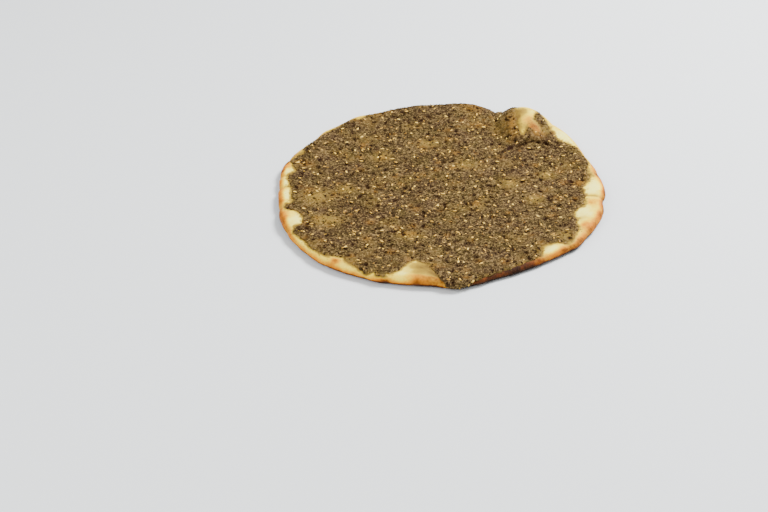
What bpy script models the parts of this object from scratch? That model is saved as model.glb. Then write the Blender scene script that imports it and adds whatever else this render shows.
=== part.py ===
"""A manakish: a round, hand-stretched flatbread baked with a za'atar and sesame topping.

Metres, +Z up. The origin is under the middle of the bread, on the surface that it rests on.
+X is the bread's right side and +Y its back, as it is seen from the front.

The dough is one solid: a flat underside, an uneven outline, a rim that rounds over and puffs a
little above the middle, and one large blister that lifts the edge at the back right. The topping
is a thin skin that follows the dough's top a small gap above it and stops short of the edge, or
runs over it at the front. Its larger sesame seeds are fused to it.
"""

import math
import random

import bmesh
import bpy
import numpy as np
from mathutils import Euler, Matrix, Vector
from mathutils.bvhtree import BVHTree
from mathutils.geometry import delaunay_2d_cdt

MM = 0.001

# The outline's own centre, measured from the middle of the bread's box
CENTRE = (-0.4 * MM, 2.5 * MM)

# Outline, seen from above, with angles in degrees from +X towards +Y. It and every other
# plan value below are measured from the outline's own centre.
MEAN_RADIUS = 129.6 * MM
# Each wave: how many round the edge, how deep, the angle of one of its peaks
EDGE_WAVES = (
    (2, 4.8 * MM, 63),
    (3, 1.4 * MM, 98),
    (4, 1.4 * MM, 55),
    (5, 1.0 * MM, 46),
    (6, 1.5 * MM, 47),
    (7, 0.8 * MM, 9),
)
# Each lobe, or notch where it is negative: middle angle, half width in degrees, depth
EDGE_LOBES = (
    (20, 8, -0.6 * MM),
    (61, 12, -5.5 * MM),
    (67, 5, -2.5 * MM),
    (79, 7, 1.5 * MM),
    (109, 12, -5.5 * MM),
    (121, 4, 1.3 * MM),
    (138, 4, 2.0 * MM),
    (166, 5, 1.2 * MM),
    (179, 2.5, -0.8 * MM),
    (200, 7, 1.3 * MM),
    (219, 6, -1.0 * MM),
    (249, 5, 1.3 * MM),
    (273, 5, 4.0 * MM),
    (280.5, 3.5, 2.0 * MM),
    (318.5, 5, 1.8 * MM),
    (347.5, 3.5, -1.9 * MM),
)

# Section of the dough, from the middle out
MIDDLE_THICKNESS = 5.4 * MM
RIM_HEIGHT = 8.0 * MM
RIM_WIDTH = 16 * MM
EDGE_ROUNDING = 6.0 * MM
EDGE_LEVEL = 0.46
WAVE_HEIGHT = 0.45 * MM
WAVE_LENGTH = 78 * MM
WAVE_SHIFT = 1.0
# Each thinner or thicker stretch of the rim: middle angle, half width in degrees, change of height
RIM_CHANGES = (
    (20, 9, -0.8 * MM),
    (67, 5, -0.8 * MM),
    (78, 8, 0.8 * MM),
    (105, 16, -0.6 * MM),
    (291, 12, -2.0 * MM),
)

# The topping stops this far from the edge, all round
TOPPING_MARGIN = 3.0 * MM
# Bare patches, where it stops further in and the dough that shows puffs up: middle angle, half
# width in degrees, how much further in, how much the puff adds to the rim's height
BARE_PATCHES = (
    (9.5, 3.2, 3.0 * MM, 0.0),
    (34, 6, 10.3 * MM, 0.6 * MM),
    (50.5, 5.2, 31.0 * MM, 0.0),
    (121, 4, 2.5 * MM, 0.3 * MM),
    (138, 3, 2.0 * MM, 0.2 * MM),
    (158, 3.5, 4.2 * MM, 0.3 * MM),
    (170.3, 3.8, 7.8 * MM, 0.8 * MM),
    (177.5, 3.5, 3.2 * MM, 0.2 * MM),
    (187.5, 6.5, 6.8 * MM, 0.8 * MM),
    (192.8, 2.2, 3.0 * MM, 0.0),
    (204.5, 4.8, 13.5 * MM, 1.1 * MM),
    (218, 5, 1.5 * MM, 0.0),
    (227.5, 4, 1.6 * MM, 0.2 * MM),
    (235.5, 3.6, 4.8 * MM, 0.5 * MM),
    (257.6, 2.4, 14.0 * MM, 0.3 * MM),
    (261.8, 4.4, 19.0 * MM, 1.2 * MM),
    (309.5, 3.6, 8.5 * MM, 1.0 * MM),
    (336.3, 8.6, 16.5 * MM, 1.2 * MM),
    (354, 9.5, 14.0 * MM, 1.2 * MM),
)
# Where the topping reaches further out, at the front over the edge: middle angle, half width in
# degrees, how far
REACHES = (
    (211.5, 3, 1.6 * MM),
    (249, 3, 1.5 * MM),
    (273, 5, 5.6 * MM),
    (289, 14, 1.8 * MM),
)

# Small bubbles under the topping: centre, half lengths along X and Y, height
BUBBLES = (
    (-96.5 * MM, -20.5 * MM, 13 * MM, 11 * MM, 1.4 * MM),
    (-88.0 * MM, -53.0 * MM, 11 * MM, 9 * MM, 1.2 * MM),
    (-73.0 * MM, -7.5 * MM, 8 * MM, 7 * MM, 0.8 * MM),
    (-25.5 * MM, -72.0 * MM, 10 * MM, 7 * MM, 0.9 * MM),
    (53.5 * MM, 0.0 * MM, 9 * MM, 10 * MM, 1.4 * MM),
    (71.0 * MM, -23.5 * MM, 8 * MM, 7 * MM, 1.0 * MM),
    (83.0 * MM, 10.5 * MM, 8 * MM, 7 * MM, 0.8 * MM),
    (-8.5 * MM, 63.5 * MM, 10 * MM, 8 * MM, 0.7 * MM),
    (-45.5 * MM, 41.5 * MM, 9 * MM, 9 * MM, 0.7 * MM),
)

# The large blister at the back right edge, an oval dome
BLISTER_CENTRE = (71.5 * MM, 90.5 * MM)
BLISTER_HALF_LENGTHS = (21 * MM, 29 * MM)
BLISTER_HEIGHT = 11.6 * MM
# The folds that bound it: a crease along its front foot and a dent down its left side
FOLDS = (
    ((48 * MM, 46 * MM), (65 * MM, 59 * MM), (77 * MM, 66 * MM), (90 * MM, 59 * MM)),
    ((48.5 * MM, 111 * MM), (47.5 * MM, 81 * MM)),
)
FOLD_DEPTH = 1.7 * MM
FOLD_HALF_WIDTH = 3.5 * MM

# The topping's skin
TOPPING_GAP = 0.35 * MM
TOPPING_THICKNESS = 1.3 * MM
TOPPING_EDGE_THICKNESS = 0.55 * MM
TOPPING_TAPER = 7 * MM
THIN_OVER_BUBBLES = 0.35

# The larger sesame seeds
SEED_COUNT = 188
SEED_LENGTH = 3.4 * MM
SEED_WIDTH = 2.2 * MM
SEED_THICKNESS = 1.15 * MM
SEED_TAPER = 0.5
SEED_SIZE_SPREAD = 0.12
SEED_RISE = 0.16 * MM
SEED_TILT = math.radians(7)
SEED_JITTER = 3.2 * MM
SEED_KEEP_IN = 4.5 * MM
SEED_DRAW = 7
GOLDEN_ANGLE = math.pi * (3 - math.sqrt(5))

# How finely the surfaces are divided
TOP_RINGS = 16
EDGE_STEPS = 108
TOPPING_EDGE_STEPS = 144
ROUNDING_LEVELS = (30, 60, 90, 130, 180)
ROUNDING_SPREAD = 26 * MM
POINT_CLEARANCE = 2.4 * MM
FOLD_STEP = 6 * MM
SAME_POINT = 1e-4
SHARP_ANGLE = math.radians(50)
ABOVE_ALL = 50 * MM

DOUGH_COLOUR = (0.80, 0.60, 0.33, 1.0)
TOPPING_COLOUR = (0.165, 0.115, 0.052, 1.0)
DOUGH_ROUGHNESS = 0.75
TOPPING_ROUGHNESS = 0.6


def bell(angle, middle, half_width):
    """A smooth bump of height 1 round a middle angle, all in degrees."""
    away = (angle - middle + 180) % 360 - 180
    return np.exp(-((away / half_width) ** 2))


def outline(angle):
    """The bread's plan radius at an angle in degrees."""
    radius = MEAN_RADIUS + 0 * angle
    for count, depth, peak in EDGE_WAVES:
        radius = radius + depth * np.cos(np.radians(count * (angle - peak)))
    for middle, half_width, depth in EDGE_LOBES:
        radius = radius + depth * bell(angle, middle, half_width)
    return radius


def topping_margin(angle):
    """How far inside the edge the topping stops. Below zero it runs over the edge."""
    margin = TOPPING_MARGIN + 0 * angle
    for middle, half_width, further, _ in BARE_PATCHES:
        margin = margin + further * bell(angle, middle, half_width)
    for middle, half_width, reach in REACHES:
        margin = margin - reach * bell(angle, middle, half_width)
    return margin


def rim_height(angle):
    """The dough's height where the edge starts to round over."""
    height = RIM_HEIGHT + 0 * angle
    for middle, half_width, _, puff in BARE_PATCHES:
        height = height + puff * bell(angle, middle, half_width)
    for middle, half_width, change in RIM_CHANGES:
        height = height + change * bell(angle, middle, half_width)
    return height


def distance_to_path(x, y, path):
    """The distance from plan points to a path of straight pieces."""
    nearest = np.full(np.shape(x), np.inf)
    for (x0, y0), (x1, y1) in zip(path, path[1:]):
        along = ((x - x0) * (x1 - x0) + (y - y0) * (y1 - y0)) / ((x1 - x0) ** 2 + (y1 - y0) ** 2)
        along = np.clip(along, 0, 1)
        away = np.hypot(x - x0 - along * (x1 - x0), y - y0 - along * (y1 - y0))
        nearest = np.minimum(nearest, away)
    return nearest


def bubble_mask(x, y):
    """How far each plan point is up a small bubble: 0 beside them, 1 on top of one, and its height."""
    mask = 0 * x
    height = 0 * x
    for cx, cy, half_x, half_y, rise in BUBBLES:
        one = np.exp(-(((x - cx) / half_x) ** 2) - ((y - cy) / half_y) ** 2)
        mask = np.maximum(mask, one)
        height = height + rise * one
    return mask, height


def top_height(x, y):
    """The height of the dough's top at plan points, before its edge rounds over."""
    angle = np.degrees(np.arctan2(y, x))
    inset = np.maximum(outline(angle) - np.hypot(x, y) - EDGE_ROUNDING, 0)
    puff = (rim_height(angle) - MIDDLE_THICKNESS) * np.exp(-((inset / RIM_WIDTH) ** 2))
    along_x = np.sin(2 * np.pi * x / WAVE_LENGTH + WAVE_SHIFT)
    wave = along_x * np.cos(2 * np.pi * y / WAVE_LENGTH)
    height = MIDDLE_THICKNESS + puff + WAVE_HEIGHT * wave + bubble_mask(x, y)[1]
    off_x = (x - BLISTER_CENTRE[0]) / BLISTER_HALF_LENGTHS[0]
    off_y = (y - BLISTER_CENTRE[1]) / BLISTER_HALF_LENGTHS[1]
    height = height + BLISTER_HEIGHT * np.maximum(1 - off_x**2 - off_y**2, 0)
    for fold in FOLDS:
        near = np.minimum(distance_to_path(x, y, fold) / FOLD_HALF_WIDTH, 1)
        height = height - FOLD_DEPTH * (1 - near**2) ** 2
    return height


def surface(reach, angle):
    """Points of the dough's skin, in metres, and angle in degrees.

    Up to the start of the rounding, reach is the plan radius and the point lies on the top.
    Past it, reach goes on round the edge: half of ROUNDING_SPREAD to its outermost line and all
    of it to the underside, as two quarter ovals.
    """
    turn = np.radians(angle)
    start = outline(angle) - EDGE_ROUNDING
    flat = np.minimum(reach, start)
    top = top_height(flat * np.cos(turn), flat * np.sin(turn))
    level = EDGE_LEVEL * rim_height(angle)
    round_turn = np.pi * np.clip((reach - start) / ROUNDING_SPREAD, 0, 1)
    radius = flat + EDGE_ROUNDING * np.sin(round_turn)
    above = level + (top - level) * np.cos(round_turn)
    below = level * (1 + np.cos(round_turn))
    height = np.where(round_turn < np.pi / 2, above, below)
    return np.stack([radius * np.cos(turn), radius * np.sin(turn), height], axis=-1)


def topping_reach(angle):
    """Where the topping's edge lies, as a reach that surface() takes."""
    margin = topping_margin(angle)
    start = outline(angle) - EDGE_ROUNDING
    rise = np.arcsin(np.clip(1 - margin / EDGE_ROUNDING, 0, 1))
    past = np.pi / 2 + np.maximum(-margin, 0) / EDGE_ROUNDING
    on_rounding = start + ROUNDING_SPREAD / np.pi * np.where(margin > 0, rise, past)
    return np.where(margin > EDGE_ROUNDING, start + EDGE_ROUNDING - margin, on_rounding)


def plane(reach, angle):
    """Reach and angle as a point of the flat plane in which the surface is divided."""
    turn = np.radians(angle)
    return np.stack([reach * np.cos(turn), reach * np.sin(turn)], axis=-1)


def ring_points():
    """Rings over the top, each with six points more than the last, then rings round the edge."""
    rings = [np.zeros((1, 2))]
    for ring in range(1, TOP_RINGS + 1):
        angle = 360 * (np.arange(6 * ring) + 0.5 * (ring % 2)) / (6 * ring)
        rings.append(plane((outline(angle) - EDGE_ROUNDING) * ring / TOP_RINGS, angle))
    angle = 360 * np.arange(EDGE_STEPS) / EDGE_STEPS
    for level in ROUNDING_LEVELS:
        reach = outline(angle) - EDGE_ROUNDING + ROUNDING_SPREAD * level / 180
        rings.append(plane(reach, angle))
    return rings


def fold_points():
    """Points along each fold's bottom and both its shoulders."""
    found = []
    for fold in FOLDS:
        for (x0, y0), (x1, y1) in zip(fold, fold[1:]):
            length = math.hypot(x1 - x0, y1 - y0)
            aside = np.array([y0 - y1, x1 - x0]) / length * FOLD_HALF_WIDTH
            steps = max(round(length / FOLD_STEP), 1)
            for step in range(steps):
                share = (step + 0.5) / steps
                middle = np.array([x0 + share * (x1 - x0), y0 + share * (y1 - y0)])
                found += [middle - aside, middle, middle + aside]
    return np.array(found)


def divide_surface():
    """Points of the plane, its triangles, and which triangles the topping covers."""
    angle = 360 * (np.arange(TOPPING_EDGE_STEPS) + 0.5) / TOPPING_EDGE_STEPS
    edge = plane(topping_reach(angle), angle)
    edge_path = [*edge, edge[0]]
    folds = fold_points()
    folds = folds[distance_to_path(folds[:, 0], folds[:, 1], edge_path) > POINT_CLEARANCE]
    rings = ring_points()
    inner = np.concatenate(rings[:-1])
    clear = distance_to_path(inner[:, 0], inner[:, 1], edge_path) > POINT_CLEARANCE
    gaps = np.hypot(*(inner[:, None] - folds[None]).transpose(2, 0, 1)).min(axis=1)
    inner = inner[clear & (gaps > POINT_CLEARANCE)]
    points = np.concatenate([rings[-1], edge, folds, inner])
    steps = np.arange(TOPPING_EDGE_STEPS)
    links = EDGE_STEPS + np.stack([steps, (steps + 1) % TOPPING_EDGE_STEPS], axis=1)
    found = delaunay_2d_cdt(
        [Vector(p) for p in points / MM], links.tolist(), [list(range(EDGE_STEPS))], 1, SAME_POINT
    )
    flat = np.array([tuple(p) for p in found[0]]) * MM
    triangles = [tuple(face) for face in found[2]]
    middles = flat[np.array(triangles)].mean(axis=1)
    middle_angle = np.degrees(np.arctan2(middles[:, 1], middles[:, 0]))
    covered_to = np.interp(middle_angle, angle, topping_reach(angle), period=360)
    return flat, triangles, np.hypot(middles[:, 0], middles[:, 1]) < covered_to


def on_dough(flat):
    """The dough's skin over points of the plane, moved to its place over the origin."""
    angle = np.degrees(np.arctan2(flat[:, 1], flat[:, 0]))
    return surface(np.hypot(flat[:, 0], flat[:, 1]), angle) + [*CENTRE, 0]


def add_object(name, mesh, collection):
    """A new object of this mesh in a collection."""
    made = bpy.data.objects.new(name, mesh)
    collection.objects.link(made)
    return made


def shade(mesh):
    """Smooth shading, but for edges as sharp as a fold."""
    mesh.shade_smooth()
    mesh.set_sharp_from_angle(angle=SHARP_ANGLE)


def material(name, colour, roughness):
    """A plain material of one colour."""
    made = bpy.data.materials.new(name)
    made.use_nodes = True
    shader = made.node_tree.nodes["Principled BSDF"]
    shader.inputs["Base Color"].default_value = colour
    shader.inputs["Roughness"].default_value = roughness
    shader.inputs["Metallic"].default_value = 0.0
    return made


def build_dough(flat, triangles, collection):
    """The dough: its divided skin, closed by one flat face underneath."""
    skin = bmesh.new()
    corners = [skin.verts.new(p) for p in on_dough(flat)]
    for triangle in triangles:
        skin.faces.new([corners[i] for i in triangle])
    rim = [edge for edge in skin.edges if edge.is_boundary]
    for vertex in {vertex for edge in rim for vertex in edge.verts}:
        vertex.co.z = 0.0
    bmesh.ops.contextual_create(skin, geom=rim)
    bmesh.ops.recalc_face_normals(skin, faces=skin.faces)
    mesh = bpy.data.meshes.new("flatbread")
    skin.to_mesh(mesh)
    skin.free()
    mesh.materials.append(material("baked dough", DOUGH_COLOUR, DOUGH_ROUGHNESS))
    shade(mesh)
    return add_object("flatbread", mesh, collection)


def topping_weights(flat):
    """The topping's thickness at points of the plane, as a share of its full thickness."""
    angle = np.degrees(np.arctan2(flat[:, 1], flat[:, 0]))
    inset = np.maximum(topping_reach(angle) - np.hypot(flat[:, 0], flat[:, 1]), 0)
    taper = np.clip(inset / TOPPING_TAPER, 0, 1)
    edge_share = TOPPING_EDGE_THICKNESS / TOPPING_THICKNESS
    thinning = 1 - THIN_OVER_BUBBLES * bubble_mask(flat[:, 0], flat[:, 1])[0]
    return (edge_share + (1 - edge_share) * taper) * thinning


def build_topping_skin(dough, flat, triangles, covered, collection):
    """The covered part of the dough's skin, lifted by the gap and thickened outwards."""
    used = sorted({i for face, over in zip(triangles, covered) if over for i in face})
    place = {old: new for new, old in enumerate(used)}
    lifted = [dough.data.vertices[i].co + dough.data.vertices[i].normal * TOPPING_GAP for i in used]
    faces = [[place[i] for i in face] for face, over in zip(triangles, covered) if over]
    mesh = bpy.data.meshes.new("zaatar_topping")
    mesh.from_pydata(lifted, [], faces)
    mesh.materials.append(material("zaatar topping", TOPPING_COLOUR, TOPPING_ROUGHNESS))
    topping = add_object("zaatar_topping", mesh, collection)
    group = topping.vertex_groups.new(name="thickness")
    for index, weight in enumerate(topping_weights(flat[used])):
        group.add([index], float(weight), "REPLACE")
    shell = topping.modifiers.new("skin", "SOLIDIFY")
    shell.thickness = TOPPING_THICKNESS
    shell.offset = 1.0
    shell.vertex_group = group.name
    return apply_modifiers(topping)


def apply_modifiers(item):
    """The same object, its mesh as its modifiers leave it and the modifiers gone."""
    bpy.context.view_layer.update()
    graph = bpy.context.evaluated_depsgraph_get()
    mesh = bpy.data.meshes.new_from_object(item.evaluated_get(graph))
    item.modifiers.clear()
    item.vertex_groups.clear()
    item.data = mesh
    return item


def seed_mesh():
    """A sesame seed: a flat drop, round at one end and narrower at the other, along X."""
    shape = bmesh.new()
    bmesh.ops.create_icosphere(shape, subdivisions=1, radius=0.5)
    for vertex in shape.verts:
        narrow = 1 - SEED_TAPER * (vertex.co.z + 0.5)
        across = vertex.co.x * narrow * SEED_WIDTH
        up = vertex.co.y * narrow * SEED_THICKNESS
        vertex.co = (vertex.co.z * SEED_LENGTH, across, up)
    bmesh.ops.recalc_face_normals(shape, faces=shape.faces)
    mesh = bpy.data.meshes.new("sesame seed")
    shape.to_mesh(mesh)
    shape.free()
    return mesh


def seed_places(draw):
    """Plan points spread evenly by the golden angle, each moved a little."""
    places = []
    for index in range(SEED_COUNT):
        turn = index * GOLDEN_ANGLE
        angle = math.degrees(turn)
        inside = outline(angle) - max(topping_margin(angle), EDGE_ROUNDING) - SEED_KEEP_IN
        radius = inside * math.sqrt((index + 0.5) / SEED_COUNT)
        x = radius * math.cos(turn) + draw.uniform(-SEED_JITTER, SEED_JITTER)
        y = radius * math.sin(turn) + draw.uniform(-SEED_JITTER, SEED_JITTER)
        in_fold = min(distance_to_path(np.array(x), np.array(y), fold) for fold in FOLDS)
        if in_fold > FOLD_HALF_WIDTH:
            places.append((x + CENTRE[0], y + CENTRE[1]))
    return places


def scatter_seeds(topping):
    """Seeds lying half sunk in the topping, in a collection of their own."""
    seeds = bpy.data.collections.new("seeds to fuse")
    bpy.context.scene.collection.children.link(seeds)
    draw = random.Random(SEED_DRAW)
    mesh = seed_mesh()
    tree = BVHTree.FromPolygons(
        [v.co for v in topping.data.vertices], [p.vertices for p in topping.data.polygons]
    )
    for x, y in seed_places(draw):
        hit, normal, _, _ = tree.ray_cast(Vector((x, y, ABOVE_ALL)), Vector((0, 0, -1)))
        turned = Euler(
            (draw.uniform(-SEED_TILT, SEED_TILT), draw.uniform(-SEED_TILT, SEED_TILT), 0)
        ).to_matrix()
        yaw = Matrix.Rotation(draw.uniform(0, 2 * math.pi), 3, "Z")
        lean = Vector((0, 0, 1)).rotation_difference(normal).to_matrix()
        size = 1 + draw.uniform(-SEED_SIZE_SPREAD, SEED_SIZE_SPREAD)
        seed = add_object("seed", mesh, seeds)
        turn = (lean @ yaw @ turned * size).to_4x4()
        seed.matrix_world = Matrix.Translation(hit + normal * SEED_RISE) @ turn
    return seeds


def fuse(topping, seeds):
    """Joins the seeds to the topping and removes them."""
    union = topping.modifiers.new("seeds", "BOOLEAN")
    union.operation = "UNION"
    union.operand_type = "COLLECTION"
    union.collection = seeds
    apply_modifiers(topping)
    for seed in list(seeds.objects):
        bpy.data.objects.remove(seed)
    bpy.data.collections.remove(seeds)
    shade(topping.data)


def main():
    for old in list(bpy.data.objects):
        bpy.data.objects.remove(old)
    manakish = bpy.data.collections.new("manakish")
    bpy.context.scene.collection.children.link(manakish)
    flat, triangles, covered = divide_surface()
    dough = build_dough(flat, triangles, manakish)
    topping = build_topping_skin(dough, flat, triangles, covered, manakish)
    fuse(topping, scatter_seeds(topping))


main()
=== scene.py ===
"""Dresses a manakish, a hand-stretched flatbread baked with a za'atar and sesame topping.

Metres, +Z up. The origin is under the middle of the bread's box, on the surface that it rests on.
+X is the bread's right side and +Y its back. The dough, the herb paste, its crumbs and its sesame
seeds are one mesh each, and all of them follow one plan shape. A place on the bread is a reach and
an angle: how far it is from the outline's own centre, on over the edge to the underside, and in
which direction, in degrees.
"""

import logging
import math
import random
from dataclasses import dataclass
from enum import Enum

import bpy
import numpy as np
from bpy.types import Material, Node, NodeSocket, NodeTree, Object
from mathutils import Euler, Matrix, Vector


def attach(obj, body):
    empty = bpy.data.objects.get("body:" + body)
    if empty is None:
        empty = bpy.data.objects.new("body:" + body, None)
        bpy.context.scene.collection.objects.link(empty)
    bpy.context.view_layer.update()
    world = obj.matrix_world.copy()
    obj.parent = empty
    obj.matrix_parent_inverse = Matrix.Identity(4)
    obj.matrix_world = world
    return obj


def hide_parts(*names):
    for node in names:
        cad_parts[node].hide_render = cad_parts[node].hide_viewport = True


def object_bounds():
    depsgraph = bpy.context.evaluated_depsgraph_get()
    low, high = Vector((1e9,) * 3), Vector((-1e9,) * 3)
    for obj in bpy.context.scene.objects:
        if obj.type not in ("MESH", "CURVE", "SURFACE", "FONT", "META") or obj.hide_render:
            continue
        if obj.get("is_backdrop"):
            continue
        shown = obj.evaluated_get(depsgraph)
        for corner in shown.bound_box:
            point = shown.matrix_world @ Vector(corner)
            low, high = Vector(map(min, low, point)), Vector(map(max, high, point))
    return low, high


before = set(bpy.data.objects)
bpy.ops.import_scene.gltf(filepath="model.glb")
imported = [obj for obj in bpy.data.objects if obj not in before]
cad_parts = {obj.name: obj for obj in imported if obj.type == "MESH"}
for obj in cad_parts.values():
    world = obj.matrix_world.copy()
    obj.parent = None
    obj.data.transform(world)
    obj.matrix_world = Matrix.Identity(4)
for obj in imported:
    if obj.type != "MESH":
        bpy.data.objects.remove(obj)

LOG = logging.getLogger("manakish")
MM = 0.001
CAD_LOW, CAD_HIGH = (np.array(corner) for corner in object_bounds())
GOLDEN_ANGLE = math.pi * (3 - math.sqrt(5))

# A pair is a point in plan, or a span: the values where a change starts and where it is full. A
# colour is as a screen shows it, 0 to 255. Stops are places on a ramp with their colours, and
# layers are noises by pitch in millimetres and share.
Array = np.ndarray
Pair = tuple[float, float]
Triple = tuple[float, float, float]
Colour = Triple
Stops = tuple[tuple[float, Colour], ...]
Layers = tuple[Pair, ...]


class Mark(Enum):
    """What a mesh notes at each of its points for its finish to read."""

    TOAST = "toast"
    STAIN = "stain"
    PIT = "pit"
    THIN = "thin"
    OIL = "oil"
    TONE = "tone"


@dataclass(frozen=True)
class Wave:
    """One wave of the outline: how many round the edge, how deep, and the angle of one peak."""

    count: int
    depth: float
    peak: float

    def at(self, angle: Array) -> Array:
        """The depth times the cosine of count times (angle - peak)."""
        return self.depth * np.cos(np.radians(self.count * (angle - self.peak)))


@dataclass(frozen=True)
class Swell:
    """A smooth change round the edge: middle angle and half width in degrees, and how much."""

    middle: float
    half_width: float
    amount: float

    def at(self, angle: Array) -> Array:
        """The amount times exp of minus (degrees away / half width) squared."""
        away = (angle - self.middle + 180) % 360 - 180
        return self.amount * np.exp(-((away / self.half_width) ** 2))


@dataclass(frozen=True)
class Spot:
    """A smooth oval spot in plan: centre and half lengths along X and Y, and how much."""

    x: float
    y: float
    half_x: float
    half_y: float
    amount: float

    def share(self, x: Array, y: Array) -> Array:
        """Exp of minus the squared distance in half lengths."""
        return np.exp(-(((x - self.x) / self.half_x) ** 2) - ((y - self.y) / self.half_y) ** 2)

    def at(self, x: Array, y: Array) -> Array:
        """The amount times the share."""
        return self.amount * self.share(x, y)


@dataclass(frozen=True)
class RimSpot:
    """An oval spot on the rim: angle, inset, half lengths along and across the edge, and how much."""

    angle: float
    inset: float
    along: float
    across: float
    amount: float

    def at(self, angle: Array, inset: Array, radius: float) -> Array:
        """The amount times exp of minus the squared distance in half lengths."""
        arc = np.radians((angle - self.angle + 180) % 360 - 180) * radius
        return self.amount * np.exp(-((arc / self.along) ** 2) - ((inset - self.inset) / self.across) ** 2)


@dataclass(frozen=True)
class Stripe:
    """A stripe in plan with round ends: the X and Y of its start and end, and the half width at each."""

    start_x: float
    start_y: float
    end_x: float
    end_y: float
    start_half: float
    end_half: float

    def beyond(self, x: Array, y: Array) -> Array:
        """How far outside the stripe plan points lie, below zero inside it."""
        share, away = beside_line(x, y, (self.start_x, self.start_y), (self.end_x, self.end_y))
        return away - (self.start_half + (self.end_half - self.start_half) * share)


def waves(*rows: tuple[int, float, float]) -> tuple[Wave, ...]:
    """Waves from rows of a count, a depth in millimetres and an angle."""
    return tuple(Wave(count, depth * MM, peak) for count, depth, peak in rows)


def swells(scale: float, *rows: Triple) -> tuple[Swell, ...]:
    """Swells from rows of middle angle, half width and amount, the amounts times scale."""
    return tuple(Swell(middle, half, amount * scale) for middle, half, amount in rows)


def spots(scale: float, *rows: tuple[float, ...]) -> tuple[Spot, ...]:
    """Spots from rows of four lengths in millimetres and an amount, the amounts times scale."""
    return tuple(Spot(*(length * MM for length in lengths), amount * scale) for *lengths, amount in rows)


def rim_spots(*rows: tuple[float, ...]) -> tuple[RimSpot, ...]:
    """Rim spots from rows of an angle, three lengths in millimetres and an amount."""
    return tuple(RimSpot(angle, *(length * MM for length in lengths), much) for angle, *lengths, much in rows)


def stripes(*rows: tuple[float, ...]) -> tuple[Stripe, ...]:
    """Stripes from rows of six lengths in millimetres."""
    return tuple(Stripe(*(length * MM for length in row)) for row in rows)


def path(*corners: Pair) -> tuple[Pair, ...]:
    """A path in plan from corners in millimetres."""
    return tuple((x * MM, y * MM) for x, y in corners)


def total(parts: tuple[Wave | Swell | Spot | RimSpot, ...], *where: Array) -> Array:
    """The sum of what each part gives at the same places."""
    return sum((part.at(*where) for part in parts), np.zeros(np.shape(where[0])))


def smooth(value: Array, low: float, high: float) -> Array:
    """0 up to low, 1 from high, and 3t^2 - 2t^3 between them."""
    share = np.clip((value - low) / (high - low), 0, 1)
    return share * share * (3 - 2 * share)


def plan(reach: Array, angle: Array) -> tuple[Array, Array]:
    """Plan X and Y of places: reach times the angle's cosine and sine."""
    turn = np.radians(angle)
    return reach * np.cos(turn), reach * np.sin(turn)


def polar(x: Array, y: Array) -> tuple[Array, Array]:
    """How far plan points are from the centre, and their angles in degrees."""
    return np.hypot(x, y), np.degrees(np.arctan2(y, x))


def beside_line(x: Array, y: Array, start: Pair, end: Pair) -> tuple[Array, Array]:
    """Where plan points lie beside a straight line.

    Args:
        x: The points' X.
        y: The points' Y.
        start: One end of the line.
        end: Its other end.

    Returns:
        How far along the line its nearest place lies, 0 to 1, and how far off that place is.
    """
    (x0, y0), (x1, y1) = start, end
    along = ((x - x0) * (x1 - x0) + (y - y0) * (y1 - y0)) / ((x1 - x0) ** 2 + (y1 - y0) ** 2)
    share = np.clip(along, 0, 1)
    return share, np.hypot(x - x0 - share * (x1 - x0), y - y0 - share * (y1 - y0))


def distance_to_path(x: Array, y: Array, corners: tuple[Pair, ...]) -> Array:
    """How far plan points lie from the nearest of a path's straight pieces."""
    return np.min([beside_line(x, y, *ends)[1] for ends in zip(corners, corners[1:])], axis=0)


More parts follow.
